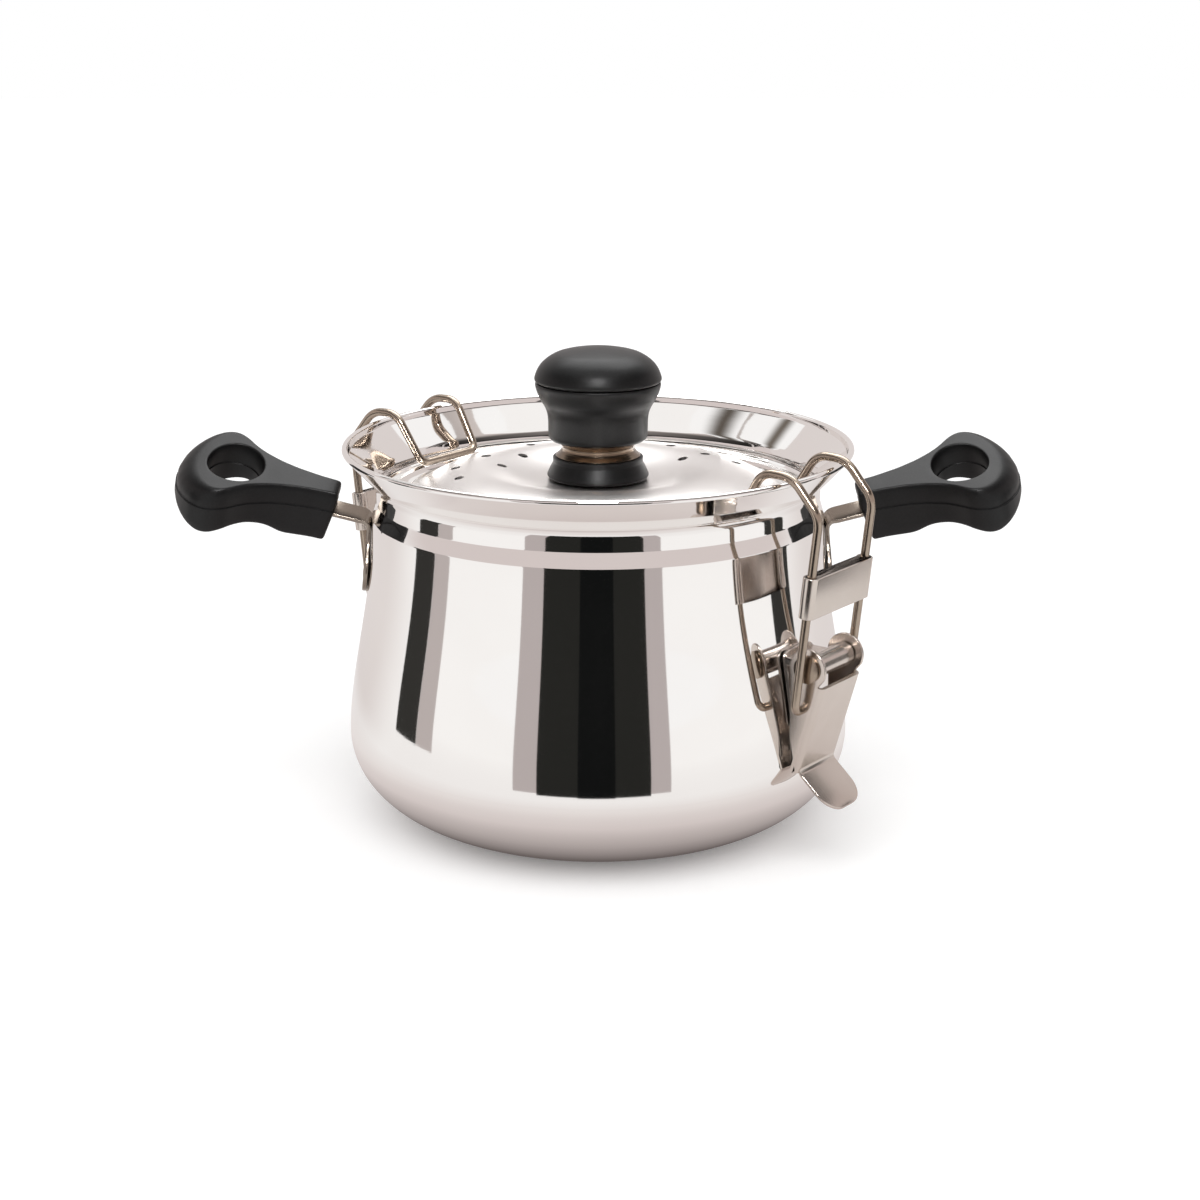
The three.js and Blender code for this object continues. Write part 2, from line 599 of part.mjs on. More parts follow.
// Latch pieces, in the latch's own frame: X outwards from the pot's axis, Y across, Z up.
function bracket() {
  const low = PIVOT.y - FOOT_DOWN;
  const high = PIVOT.y + FOOT_UP;
  const back = [wallR(low) + GAP, wallR(high) + GAP];
  const foot = [[back[0], low], [back[0] + FOOT_T, low], [back[1] + FOOT_T, high], [back[1], high]];
  const near = lerp(back[0], back[1], FOOT_DOWN / (high - low)) + FOOT_T / 2;
  const arm = [[near, PIVOT.y - ARM_T / 2], [PIVOT.x - PIN_R - RUN, PIVOT.y - ARM_T / 2]];
  arm.push([PIVOT.x - PIN_R - RUN, PIVOT.y + ARM_T / 2], [near, PIVOT.y + ARM_T / 2]);
  const half = LEVER_W / 2 - PLATE - 2 * GAP;
  const parts = [sidePlate(arm, -FOOT_W / 2, FOOT_W / 2), crossRod(KNUCKLE_R, -half, half, PIVOT, 20)];
  const bore = crossRod(PIN_R + RUN, -LEVER_W, LEVER_W, PIVOT);
  return shape(sidePlate(foot, -FOOT_W / 2, FOOT_W / 2), parts, [bore]);
}

function pin() {
  const from = LEVER_W / 2 + GAP;
  const to = from + PIN_HEAD_T;
  const heads = [crossRod(PIN_HEAD_R, from, to, PIVOT, 20), crossRod(PIN_HEAD_R, -to, -from, PIVOT, 20)];
  return shape(crossRod(PIN_R, -from - PIN_HEAD_T / 2, from + PIN_HEAD_T / 2, PIVOT), heads);
}

function lever() {
  const half = LEVER_W / 2;
  const flange = [WEB_TOP];
  for (let a = -25; a <= 200; a += 25) {
    const t = radians(a);
    flange.push([PIVOT.x + EAR_R * Math.cos(t), PIVOT.y + EAR_R * Math.sin(t)]);
  }
  const side = PIVOT.x - EAR_R + 0.5;
  flange.push([side, WIRE_HOLE.y + 4], [side, WIRE_HOLE.y - 10], [side + 0.8, WEB_LOW.y + 5.6]);
  flange.push([WEB_LOW.x - PLATE, WEB_LOW.y + 1.2], WEB_LOW);
  const down = WEB_LOW.clone().sub(WEB_TOP).normalize();
  const inward = v2(down.y, -down.x).multiplyScalar(PLATE);
  const web = [WEB_TOP, WEB_LOW, WEB_LOW.clone().add(inward), WEB_TOP.clone().add(inward)];
  const tab = new THREE.Shape();
  const wide = TAB_W / 2;
  const straight = TAB_L - TAB_CORNER;
  tab.moveTo(-PLATE, -wide);
  tab.lineTo(straight, -wide);
  tab.absarc(straight, TAB_CORNER - wide, TAB_CORNER, -Math.PI / 2, 0);
  tab.absarc(straight, wide - TAB_CORNER, TAB_CORNER, 0, Math.PI / 2);
  tab.lineTo(-PLATE, wide);
  const plate = new THREE.ExtrudeGeometry(tab, { depth: PLATE, bevelEnabled: false, curveSegments: 5 });
  plate.rotateY(TAB_SLOPE).translate(WEB_LOW.x - PLATE / 3, 0, WEB_LOW.y);
  const inner = half - PLATE;
  const added = [sidePlate(flange, -half, -inner), sidePlate(web, -half, half), plate];
  const cuts = [crossRod(PIN_R + RUN, -LEVER_W, LEVER_W, PIVOT)];
  cuts.push(crossRod(WIRE_R + RUN, -LEVER_W, LEVER_W, WIRE_HOLE));
  return shape(sidePlate(flange, inner, half), added, cuts);
}

// One wire: its ends pass in through the lever, its legs rise and arch over the lip to a bar by the lid.
function bail() {
  const end = LEVER_W / 2 - PLATE - 2;
  const corners = [[WIRE_HOLE, end], [WIRE_HOLE, LEG_W / 2], [ELBOW, LEG_W / 2]];
  corners.push([CREST_OUT, LEG_W / 2], [CREST_IN, LEG_W / 2], [BAR, BAR_W / 2]);
  const half = corners.map(([p, y]) => v3(p.x, y, p.y));
  const other = half.map((p) => v3(p.x, -p.y, p.z)).reverse();
  const radii = [3, 7, 9, 6, 3.5];
  return tube(rounded([...half, ...other], [...radii, ...radii.toReversed()], 3), WIRE_R, 10);
}

// A band that ties the two legs: an eye rolled round each, joined by a plate in front.
function clip() {
  const leg = ELBOW.clone().sub(WIRE_HOLE).normalize();
  const inner = WIRE_R + GAP;
  const outer = inner + CLIP_T;
  const eye = [[inner, -CLIP_H / 2], [outer, -CLIP_H / 2], [outer, CLIP_H / 2], [inner, CLIP_H / 2]];
  const front = new THREE.BoxGeometry(CLIP_T, LEG_W, CLIP_H).translate(inner + CLIP_T / 2, 0, 0);
  const sides = [LEG_W / 2, -LEG_W / 2];
  const eyes = sides.map((y) => turned(eye, 16).translate(0, y, 0));
  const bores = sides.map((y) => rod(inner, -CLIP_H, CLIP_H, 0, y));
  const at = WIRE_HOLE.clone().addScaledVector(leg, CLIP_S);
  return shape(front, eyes, bores).rotateY(Math.atan2(leg.x, leg.y)).translate(at.x, 0, at.y);
}

function latch(name, azimuth) {
  const group = new THREE.Group();
  group.add(piece(`${name}_bracket`, bracket(), SATIN));
  group.add(piece(`${name}_pin`, pin(), WIRE));
  group.add(piece(`${name}_lever`, lever(), SATIN));
  group.add(piece(`${name}_bail`, bail(), WIRE));
  group.add(piece(`${name}_clip`, clip(), SATIN));
  group.rotation.z = azimuth - Math.PI / 2;
  return group;
}

const pot = new THREE.Group();
pot.add(piece("pot_body", potBody(), STEEL));
pot.add(piece("seat_ring", seatRing(), STEEL));
pot.add(piece("lid", lid(), STEEL));
for (const part of knob()) pot.add(part);
for (const [name, side] of [["left", -1], ["right", 1]]) {
  pot.add(piece(`${name}_strap`, strap(side), SATIN));
  pot.add(piece(`${name}_grip`, grip(side), BLACK));
  pot.add(piece(`${name}_screw`, gripScrew(side), SATIN));
}
pot.add(latch("front", LATCH_AZ));
pot.add(latch("rear", LATCH_AZ + Math.PI));

export default pot;
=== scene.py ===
"""The steel cooking pot dressed for its photograph: turned, bent and moulded surfaces."""
import math

import bpy
import numpy as np
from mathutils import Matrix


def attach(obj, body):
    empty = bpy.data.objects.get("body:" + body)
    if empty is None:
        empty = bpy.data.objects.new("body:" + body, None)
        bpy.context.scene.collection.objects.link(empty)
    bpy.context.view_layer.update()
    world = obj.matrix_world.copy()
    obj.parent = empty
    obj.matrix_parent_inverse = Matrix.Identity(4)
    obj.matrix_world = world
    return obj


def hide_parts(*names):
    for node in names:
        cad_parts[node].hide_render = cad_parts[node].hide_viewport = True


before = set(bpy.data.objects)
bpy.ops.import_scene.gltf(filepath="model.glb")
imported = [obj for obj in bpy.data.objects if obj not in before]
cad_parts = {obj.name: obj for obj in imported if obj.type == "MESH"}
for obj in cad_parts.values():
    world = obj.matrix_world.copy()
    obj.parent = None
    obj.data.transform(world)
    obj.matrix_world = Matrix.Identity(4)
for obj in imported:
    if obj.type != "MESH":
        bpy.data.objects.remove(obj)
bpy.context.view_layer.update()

scene = bpy.context.scene
MM = 0.001

# Sizes in millimetres, the same as the solids'
BELLY_R, BELLY_Z, FLAT_R, SHEET = 90.8, 31.0, 51.5, 1.0
WALL_H, WAIST_POWER, SHOULDER_R = 79.5, 0.9, 81.0
SHOULDER_Z, NECK_LOW, NECK_HIGH, LIP_TOP = 110.5, 115.8, 121.2, 136.0
NECK_R, LIP_R, BEAD_R = 79.4, 91.0, 1.1
SEAT_R, SEAT_TOP, COLLAR_H, GAP = 65.0, 117.8, 3.7, 0.3
LID_R, LID_SHEET, LID_CENTRE, LID_FLAT_R = 68.2, 0.9, 122.6, 19.5
CROWN_R, CROWN_H, EDGE_DROP, STRAIN_R = 42.0, 4.5, 3.5, 1.8
STRAIN_ROWS = (
    (51, (-73, -91, -165, 170, 130, 101)),
    (44, (-112, -145, 180, 142, 117)),
    (35, (-98, -128, -166, 160, 118)),
)
BORE, BASE_R, BASE_H, FERRULE_R, FERRULE_H, FERRULE_WAIST = 2.7, 18.25, 8.1, 15.2, 5.4, 2.2
KNOB_R, KNOB_H, CAP_R, CAP_H, SPIGOT_R, SPIGOT_H = 17.75, 20.5, 22.65, 12.15, 8.0, 5.5
INSERT_R, INSERT_H, SCREW_R, HEAD_R, HEAD_H, WASHER_R, WASHER_T = 5.0, 14.2, 2.4, 4.6, 3.1, 7.0, 1.0
# Cap's outline from its seam up: shares of its radius and of its height
CAP_LINE = np.array([
    [0.97, 0], [0.992, 0.035], [1, 0.09], [0.991, 0.165], [0.958, 0.33], [0.907, 0.485],
    [0.819, 0.645], [0.689, 0.795], [0.578, 0.864], [0.388, 0.938], [0.2, 0.983], [0, 1],
])
STRAP_W, STRAP_T, TONGUE_W, TONGUE_L, TONGUE_LOW, TANG = 8.0, 1.6, 18.0, 23.0, 81.0, 25.0
GRIP_AT = np.array([93.3, 0.0, 111.0])
GRIP_TILT, GRIP_ROLL = math.radians(14.5), math.radians(26)
RING_S, RING_W, GRIP_L, FINGER_R, GRIP_UP, GRIP_DOWN = 38.8, 19.5, 59.3, 10.0, 10.2, 11.8
EDGE_UP, DROOP, DROOP_S, END_LEAN = 6.0, 4.5, 35.0, 3.0
# The grip's outline and that of its flat top, as shares of its length and of the ring's half width
GRIP_PLAN = np.array([
    [0, 0.285, 0.027, 0.165], [0.144, 0.295, 0.144, 0.185], [0.294, 0.36, 0.294, 0.245],
    [0.401, 0.445, 0.401, 0.325], [0.477, 0.545, 0.477, 0.41], [0.527, 0.62, 0.527, 0.48],
    [0.577, 0.73, 0.577, 0.57], [0.639, 0.89, 0.632, 0.71], [0.691, 0.97, 0.679, 0.8],
    [0.744, 1, 0.724, 0.815], [0.803, 0.965, 0.766, 0.76], [0.861, 0.86, 0.803, 0.66],
    [0.911, 0.71, 0.833, 0.53], [0.953, 0.53, 0.856, 0.38], [0.983, 0.32, 0.87, 0.22], [1, 0, 0.878, 0],
])
# Its underside, as shares of its length and depth
GRIP_UNDER = np.array([
    [0, 1], [0.3, 1], [0.335, 0.92], [0.385, 0.77], [0.443, 0.65], [0.518, 0.59], [0.594, 0.6], [0.661, 0.7],
    [0.719, 0.8], [0.786, 0.85], [0.863, 0.8], [0.92, 0.7], [0.97, 0.54], [1.02, 0.3],
])
LATCH_AZ = math.radians(53)
PIVOT, WIRE_HOLE = np.array([97.5, 72.5]), np.array([95.5, 57.8])
WEB_TOP, WEB_LOW = np.array([103.5, 66.2]), np.array([94.3, 34.4])
TAB_SLOPE, TAB_L, TAB_W, TAB_CORNER = math.radians(41), 18.6, 22.0, 8.0
PLATE, LEVER_W, EAR_R, PIN_R, PIN_HEAD_R, PIN_HEAD_T, KNUCKLE_R = 1.2, 25.4, 7.0, 2.0, 4.7, 1.3, 4.1
FOOT_W, FOOT_T, FOOT_UP, FOOT_DOWN, ARM_T = 18.0, 1.5, 3.0, 24.0, 3.0
WIRE_R, LEG_W, BAR_W = 1.5, 34.0, 30.8
ELBOW, CREST_OUT = np.array([103.2, 126.2]), np.array([92.5, 138.6])
CREST_IN, BAR = np.array([81.0, 138.9]), np.array([70.2, 121.3])
CLIP_S, CLIP_H, CLIP_T = 41.5, 14.3, 1.0
# Points nearer than this are one, and faces that would share a plane are kept this far apart
HAIR = 0.02
# A step longer than any edge, which adds no points to a path
NO_STEP = 30.0


# Curves
def ease(s):
    """A smooth step: 3 s squared less 2 s cubed."""
    return s * s * (3 - 2 * s)


def unit(v):
    """Each row divided by its length."""
    return v / np.linalg.norm(v, axis=-1, keepdims=True)


def rounded(corners, radii, steps=8, loop=False):
    """A path through corners, each swapped for an arc that touches both of its sides: the arc starts and ends
    radius / tan(half the corner's angle) away from the corner. A radius of 0 keeps the corner."""
    corners = np.asarray(corners, float)
    count = len(corners)
    path = []
    for i in range(count):
        if radii[i] == 0 or (not loop and i in (0, count - 1)):
            path.append(corners[i][None])
            continue
        back = unit(corners[i - 1] - corners[i])
        on = unit(corners[(i + 1) % count] - corners[i])
        half = np.arccos(np.clip(back @ on, -1, 1)) / 2
        reach = radii[i] / np.tan(half)
        centre = corners[i] + unit(back + on) * radii[i] / np.sin(half)
        first = corners[i] + back * reach - centre
        last = corners[i] + on * reach - centre
        sweep = np.pi - 2 * half
        f = np.linspace(0, 1, steps + 1)[:, None]
        path.append(centre + (np.sin((1 - f) * sweep) * first + np.sin(f * sweep) * last) / np.sin(sweep))
    return np.concatenate(path)


def lengths(points):
    """How far along a path each of its points lies: the running sum of the distances between neighbours."""
    return np.concatenate([[0], np.cumsum(np.linalg.norm(np.diff(points, axis=0), axis=1))])


def sampled(points, s, at):
    """A path's points at given distances, straight between its own, which lie at the distances s."""
    return np.stack([np.interp(at, s, column) for column in points.T], 1)


def right_of(run):
    """Each direction turned a quarter turn clockwise: (x, y) to (y, -x)."""
    return np.stack([run[:, 1], -run[:, 0]], 1)


def refined(points, step):
    """A path with evenly spaced points added, so that no two neighbours are further apart than step; of two
    that nearly coincide, one is kept."""
    s = lengths(points)
    even = np.linspace(0, s[-1], int(np.ceil(s[-1] / step)) + 1)
    every = np.unique(np.round(np.concatenate([s, even]), 4))
    every = every[np.concatenate([[True], np.diff(every) > HAIR])]
    every[-1] = s[-1]
    return sampled(points, s, every)


def refined_ring(outline, step):
    """A closed outline with points added in the same way."""
    return refined(np.concatenate([outline, outline[:1]]), step)[:-1]


def softened(points, step, cuts=3):
    """A path with its corners cut: points every step, then each edge cut at a quarter and three quarters."""
    p = refined(np.asarray(points, float), step)
    for _ in range(cuts):
        pairs = np.stack([0.75 * p[:-1] + 0.25 * p[1:], 0.25 * p[:-1] + 0.75 * p[1:]], 1)
        p = np.concatenate([p[:1], pairs.reshape(-1, p.shape[1]), p[-1:]])
    return p


def ring_smoothed(points, sigma):
    """A closed outline averaged with its neighbours by a bell curve of width sigma, counted in points."""
    k = np.arange(-int(4 * sigma), int(4 * sigma) + 1)
    w = np.exp(-0.5 * (k / sigma) ** 2)
    w /= w.sum()
    index = (np.arange(len(points))[:, None] + k[None]) % len(points)
    return np.einsum("ik,ikd->id", np.broadcast_to(w, index.shape), points[index])


# Surfaces: a shell is its points and a list of face arrays
def quads(rows, cols, wrap_rows=False):
    """The four-sided faces of a grid whose columns close round, and whose rows do where wrapped."""
    k = np.arange(rows if wrap_rows else rows - 1)[:, None]
    i = np.arange(cols)[None]
    k1, i1 = (k + 1) % rows, (i + 1) % cols
    return np.stack([k * cols + i, k * cols + i1, k1 * cols + i1, k1 * cols + i], -1).reshape(-1, 4)


def shell(points, faces):
    """Points that coincide made one, faces that shrink to a line dropped, and all faces turned outwards."""
    _, first, back = np.unique(np.round(points, 4), axis=0, return_index=True, return_inverse=True)
    back = back.reshape(-1)
    kept = []
    for a in faces:
        a = back[a]
        if a.shape[1] == 4:
            same = a == np.roll(a, -1, axis=1)
            count = same.sum(1)
            kept += [a[count == 0], a[count == 1][~same[count == 1]].reshape(-1, 3)]
        else:
            kept.append(a)
    kept = [a for a in kept if len(a)]
    used, place = np.unique(np.concatenate([a.ravel() for a in kept]), return_inverse=True)
    parts = np.split(place.ravel(), np.cumsum([a.size for a in kept])[:-1])
    kept = [p.reshape(a.shape) for p, a in zip(parts, kept)]
    points = points[first][used]
    volume = 0.0
    for a in kept:
        for j in range(1, a.shape[1] - 1):
            p, q, r = points[a[:, 0]], points[a[:, j]], points[a[:, j + 1]]
            volume += np.einsum("ij,ij->", p, np.cross(q, r))
    if volume < 0:
        kept = [a[:, ::-1] for a in kept]
    return points, kept


def skin(grid, wrap_rows=False):
    """A shell over a grid of points, its columns closed round."""
    rows, cols = grid.shape[:2]
    return shell(grid.reshape(-1, 3), [quads(rows, cols, wrap_rows)])


def capped(grid):
    """A shell over a tube of points, with a flat face over its first ring and over its last."""
    rows, cols = grid.shape[:2]
    ring = np.arange(cols)[None]
    return shell(grid.reshape(-1, 3), [quads(rows, cols), ring[:, ::-1], ring + (rows - 1) * cols])


def pinched(grid):
    """A shell over a tube of points, closed at each end towards the middle of that ring."""
    ends = np.broadcast_to(grid.mean(1, keepdims=True), grid.shape)
    return skin(np.concatenate([ends[:1], grid, ends[-1:]]))


def bar_section(half_width, half_thick, r):
    """A bar's section for each half width, its corners quarter circles of radius r: across and through it."""
    a = np.radians(np.concatenate([q + np.linspace(0, 90, 5) for q in (0, 90, 180, 270)]))
    corner = np.radians(np.repeat([45, 135, 225, 315], 5))
    u = np.sign(np.cos(corner)) * (half_width[:, None] - r) + r * np.cos(a)
    v = np.sign(np.sin(corner)) * (half_thick - r) + r * np.sin(a) + 0 * u
    return u, v


def turned(profile, segments=128):
    """A profile of radius and height carried round Z: x = r cos a, y = r sin a. Off the axis, it closes."""
    profile = np.asarray(profile, float)
    a = np.linspace(0, 2 * np.pi, segments, endpoint=False)
    r, z = profile[:, :1], profile[:, 1:]
    grid = np.stack([r * np.cos(a), r * np.sin(a), z + 0 * a], -1)
    return skin(grid, wrap_rows=profile[0, 0] > 0)


def plate(outline, low, high, edge):
    """A flat plate from low to high: the outline drawn in by edge (1 - sin t) as its level runs by
    edge (1 - cos t), which rounds both rims, and a flat cap on each face."""
    area = np.sum(outline[:, 0] * np.roll(outline[:, 1], -1) - np.roll(outline[:, 0], -1) * outline[:, 1])
    outline = outline if area > 0 else outline[::-1]
    t = np.linspace(0, np.pi / 2, 5)
    inset = np.concatenate([[edge + 0.15], edge * (1 - np.sin(t))])
    lift = np.concatenate([[0], edge * (1 - np.cos(t))])
    inset = np.concatenate([inset, inset[::-1]])[:, None, None]
    level = np.concatenate([low + lift, (high - lift)[::-1]])[:, None, None]
    out = right_of(unit(np.roll(outline, -1, 0) - np.roll(outline, 1, 0)))
    flat = outline[None] - inset * out[None]
    return capped(np.concatenate([flat, np.broadcast_to(level, (*flat.shape[:2], 1))], -1))


def placed(part, origin, x, y, z):
    """A shell moved from its own axes to the given ones."""
    points, faces = part
    basis = np.array([x, y, z], float)
    return shell(np.asarray(origin, float) + points @ basis, faces)


def linear(code):
    """An sRGB hex colour as linear light: c / 12.92 up to 0.04045, else ((c + 0.055) / 1.055) ** 2.4."""
    c = np.array([int(code[i : i + 2], 16) for i in (1, 3, 5)]) / 255
    c = np.where(c <= 0.04045, c / 12.92, ((c + 0.055) / 1.055) ** 2.4)
    return (*c.tolist(), 1.0)


def feed(tree, n, inputs):
    """A node's inputs: one that is given a socket is linked, any other value is set."""
    for key, value in inputs.items():
        if isinstance(value, bpy.types.NodeSocket):
            tree.links.new(value, n.inputs[key])
        else:
            n.inputs[key].default_value = value


def add(tree, kind, inputs=None, **settings):
    """One new node with its settings and its inputs."""
    n = tree.nodes.new(kind)
    for key, value in settings.items():
        setattr(n, key, value)
    feed(tree, n, inputs or {})
    return n


def shown(name, data):
    """A new object in the scene."""
    thing = bpy.data.objects.new(name, data)
    scene.collection.objects.link(thing)
    return thing


# Finishes
METAL = {"Metallic": 1.0}
# Depth of fine marks, in metres
FINE = 0.0002


def begun(name):
    """A new material with its tree and the object's own coordinates."""
    m = bpy.data.materials.new(name)
    m.use_nodes = True
    return m, m.node_tree, add(m.node_tree, "ShaderNodeTexCoord").outputs["Object"]


def dressed(m, fixed, share, light, dark, rough, bump=None):
    """The material with its shader fed: a colour that runs from light to dark by a share, the roughness, the
    bumps where there are some, and fixed values."""
    tree = m.node_tree
    ends = {6: linear(light), 7: linear(dark)}
    tone = add(tree, "ShaderNodeMix", {"Factor": share, **ends}, data_type="RGBA")
    inputs = {"Base Color": tone.outputs[2], "Roughness": rough.outputs[0], **fixed}
    if bump:
        inputs["Normal"] = bump.outputs[0]
    feed(tree, tree.nodes["Principled BSDF"], inputs)
    return m


def buffed_stainless(name, dull, ring_depth, light="#f8f6f4", dark="#f3f0ee"):
    """Stainless sheet buffed while it turns: a neutral mirror, or a softer one where dull is higher, with
    faint rings round the axis and broad patches where the buff pressed more or less."""
    m, t, at = begun(name)
    patch = add(t, "ShaderNodeTexNoise", {"Vector": at, "Scale": 1 / 0.03, "Detail": 3.0})
    rough = add(t, "ShaderNodeMapRange", {"Value": patch.outputs["Fac"], 3: dull, 4: 1.6 * dull})
    # Buffing rings, 0.15 mm apart in the metal, drawn at 0.9 mm so that they show
    parts = add(t, "ShaderNodeSeparateXYZ", {"Vector": at})
    level = add(t, "ShaderNodeCombineXYZ", {"X": parts.outputs["X"], "Y": parts.outputs["Y"]})
    radius = add(t, "ShaderNodeVectorMath", {0: level.outputs["Vector"]}, operation="LENGTH")
    ring = add(t, "ShaderNodeCombineXYZ", {"X": radius.outputs["Value"], "Y": parts.outputs["Z"]})
    lines = add(t, "ShaderNodeTexNoise", {"Vector": ring.outputs[0], "Scale": 1 / 0.0009, "Detail": 2.0})
    bump = add(t, "ShaderNodeBump", {"Height": lines.outputs[0], "Strength": ring_depth, "Distance": FINE})
    return dressed(m, METAL, patch.outputs["Fac"], light, dark, rough, bump)


def satin_stainless(name, light, dark):
    """Stainless strip, rolled and then rubbed with a grit belt: a soft mirror with faint streaks."""
    m, t, at = begun(name)
    # Belt marks, 0.1 mm apart in the metal, drawn at 0.4 mm so that they show
    long = add(t, "ShaderNodeMapping", {"Vector": at, "Scale": (1 / 0.0004, 1 / 0.0004, 1 / 0.02)})
    marks = add(t, "ShaderNodeTexNoise", {"Vector": long.outputs[0], "Scale": 1.0, "Detail": 3.0})
    patch = add(t, "ShaderNodeTexNoise", {"Vector": at, "Scale": 1 / 0.014, "Detail": 3.0})
    rough = add(t, "ShaderNodeMapRange", {"Value": marks.outputs["Fac"], 3: 0.18, 4: 0.27})
    bump = add(t, "ShaderNodeBump", {"Height": marks.outputs["Fac"], "Strength": 0.025, "Distance": FINE})
    return dressed(m, METAL, patch.outputs["Fac"], light, dark, rough, bump)


def bright_drawn_steel(name, light, dark):
    """Steel drawn through a die and nickel plated: a warm, bright skin with dull spots."""
    m, t, at = begun(name)
    spots = add(t, "ShaderNodeTexNoise", {"Vector": at, "Scale": 1 / 0.004, "Detail": 5.0})
    rough = add(t, "ShaderNodeMapRange", {"Value": spots.outputs["Fac"], 3: 0.17, 4: 0.25})
    bump = add(t, "ShaderNodeBump", {"Height": spots.outputs["Fac"], "Strength": 0.006, "Distance": FINE})
    return dressed(m, METAL, spots.outputs["Fac"], light, dark, rough, bump)


def turned_brass():
    """Brass bar turned on a lathe: yellow metal with fine tool rings."""
    m, t, at = begun("turned_brass")
    parts = add(t, "ShaderNodeMapping", {"Vector": at, "Scale": (1 / 0.01, 1 / 0.01, 1 / 0.0004)})
    rings = add(t, "ShaderNodeTexNoise", {"Vector": parts.outputs[0], "Scale": 1.0, "Detail": 2.0})
    rough = add(t, "ShaderNodeMapRange", {"Value": rings.outputs["Fac"], 3: 0.25, 4: 0.4})
    return dressed(m, METAL, rings.outputs["Fac"], "#c9a85c", "#a98a45", rough)


def black_phenolic():
    """Phenolic powder pressed in a steel tool: black with grey specks, a half-dull skin, slightly wavy."""
    m, t, at = begun("black_phenolic_moulding")
    wave = add(t, "ShaderNodeTexNoise", {"Vector": at, "Scale": 1 / 0.009, "Detail": 3.0})
    speck = add(t, "ShaderNodeTexNoise", {"Vector": at, "Scale": 1 / 0.0007, "Detail": 2.0})
    rough = add(t, "ShaderNodeMapRange", {"Value": wave.outputs["Fac"], 3: 0.34, 4: 0.44})
    fine = add(t, "ShaderNodeBump", {"Height": speck.outputs["Fac"], "Strength": 0.05, "Distance": FINE})
    depth = {"Strength": 0.08, "Distance": 3 * FINE}
    bump = add(t, "ShaderNodeBump", {"Height": wave.outputs["Fac"], "Normal": fine.outputs[0], **depth})
    grain = add(t, "ShaderNodeMapRange", {"Value": speck.outputs["Fac"], 1: 0.35, 2: 0.75})
    fixed = {"Specular IOR Level": 0.25}
    return dressed(m, fixed, grain.outputs[0], "#09090a", "#111112", rough, bump)


FINISH = {
    "polished_steel": buffed_stainless("mirror_polished_stainless", 0.035, 0.012),
    "satin_steel": satin_stainless("satin_stainless", "#dad1ca", "#cfc5bc"),
    "bright_wire": bright_drawn_steel("bright_drawn_wire", "#b5a799", "#9c8d7e"),
    "brass": turned_brass(),
    "black_moulding": black_phenolic(),
}
LID_FINISH = buffed_stainless("satin_polished_stainless", 0.25, 0.008, "#dbd8d6", "#d5d2d0")
# The collar's steel has a brown tint of its own, and is made darker than the wire's as painted shade,
# standing in for the dark knob that it mirrors
COLLAR_TINT_AND_PAINTED_SHADE = bright_drawn_steel("brown_tinted_steel_with_painted_shade", "#8d7c6c", "#66584b")
STRAP_FINISH = satin_stainless("mill_finish_stainless", "#a3998f", "#8f857b")


def build(name, shells, slot, body, *nodes, finish=None):
    """One piece in metres from its shells, smooth but for edges over 38 degrees, in place of CAD nodes."""
    faces, start = [], 0
    for points, arrays in shells:
        faces += [row for a in arrays for row in (a + start).tolist()]
        start += len(points)
    mesh = bpy.data.meshes.new(name)
    mesh.from_pydata((np.concatenate([p for p, _ in shells]) * MM).tolist(), [], faces)
    mesh.materials.append(finish or FINISH[slot])
    mesh.shade_smooth()
    mesh.set_sharp_from_angle(angle=math.radians(38))
    piece = shown(name, mesh)
    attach(piece, body)
    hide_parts(*nodes)


# Pot
def wall_r(z):
    """Outer radius of the wall: from the belly's to the shoulder's by a smooth step of the height's share."""
    s = np.clip((np.asarray(z, float) - BELLY_Z) / WALL_H, 0, 1) ** WAIST_POWER
    return BELLY_R + (SHOULDER_R - BELLY_R) * ease(s)


def pot_profile():
    """Out along the bottom, up a quarter ellipse and the wall, in over the shoulder, up the neck and the
    flare, round the bead, and the same way back one sheet further in."""
    a = np.linspace(0, np.pi / 2, 40)
    z = np.linspace(BELLY_Z, SHOULDER_Z - 1, 60)[1:]
    bowl = BELLY_R - FLAT_R
    outer = [np.stack([FLAT_R + bowl * np.sin(a), BELLY_Z * (1 - np.cos(a))], 1), np.stack([wall_r(z), z], 1)]
    inner = [np.stack([FLAT_R + (bowl - SHEET) * np.sin(a), BELLY_Z - (BELLY_Z - SHEET) * np.cos(a)], 1)]
    inner.append(np.stack([wall_r(z) - SHEET, z], 1))
    bead = np.array([LIP_R - BEAD_R, LIP_TOP - BEAD_R])
    b = np.radians(np.linspace(-50, 180, 24))
    roll = bead + BEAD_R * np.stack([np.cos(b), np.sin(b)], 1)
    foot = np.array([NECK_R + 0.9, NECK_HIGH + 2])
    brim = bead - (0.7, 2.3)
    shoulder = np.array([[SHOULDER_R, SHOULDER_Z - 2], [SHOULDER_R, SHOULDER_Z]])
    neck = np.array([[NECK_R, NECK_LOW], [NECK_R, NECK_HIGH]])
    rise = rounded([*shoulder, *neck, foot, brim], [0, 1.3, 1.6, 4.5, 4.5, 0])
    dip = 0.75 * SHEET * np.array([-1, 1])
    inside = [*(shoulder - (SHEET, 0)), neck[0] + (-SHEET, 0.4), neck[1] + (-SHEET, 0.3)]
    back = rounded([*inside, foot + dip, brim + dip, roll[-1]], [0, 1.3, 1.6, 4.5, 4.5, 1.2, 0])
    outer = np.concatenate([[[0, 0]], *outer, rise[1:], roll])
    inner = np.concatenate([[[0, SHEET]], *inner, back[1:-1]])
    return np.concatenate([refined(outer, 6.0), refined(inner, 6.0)[::-1]])


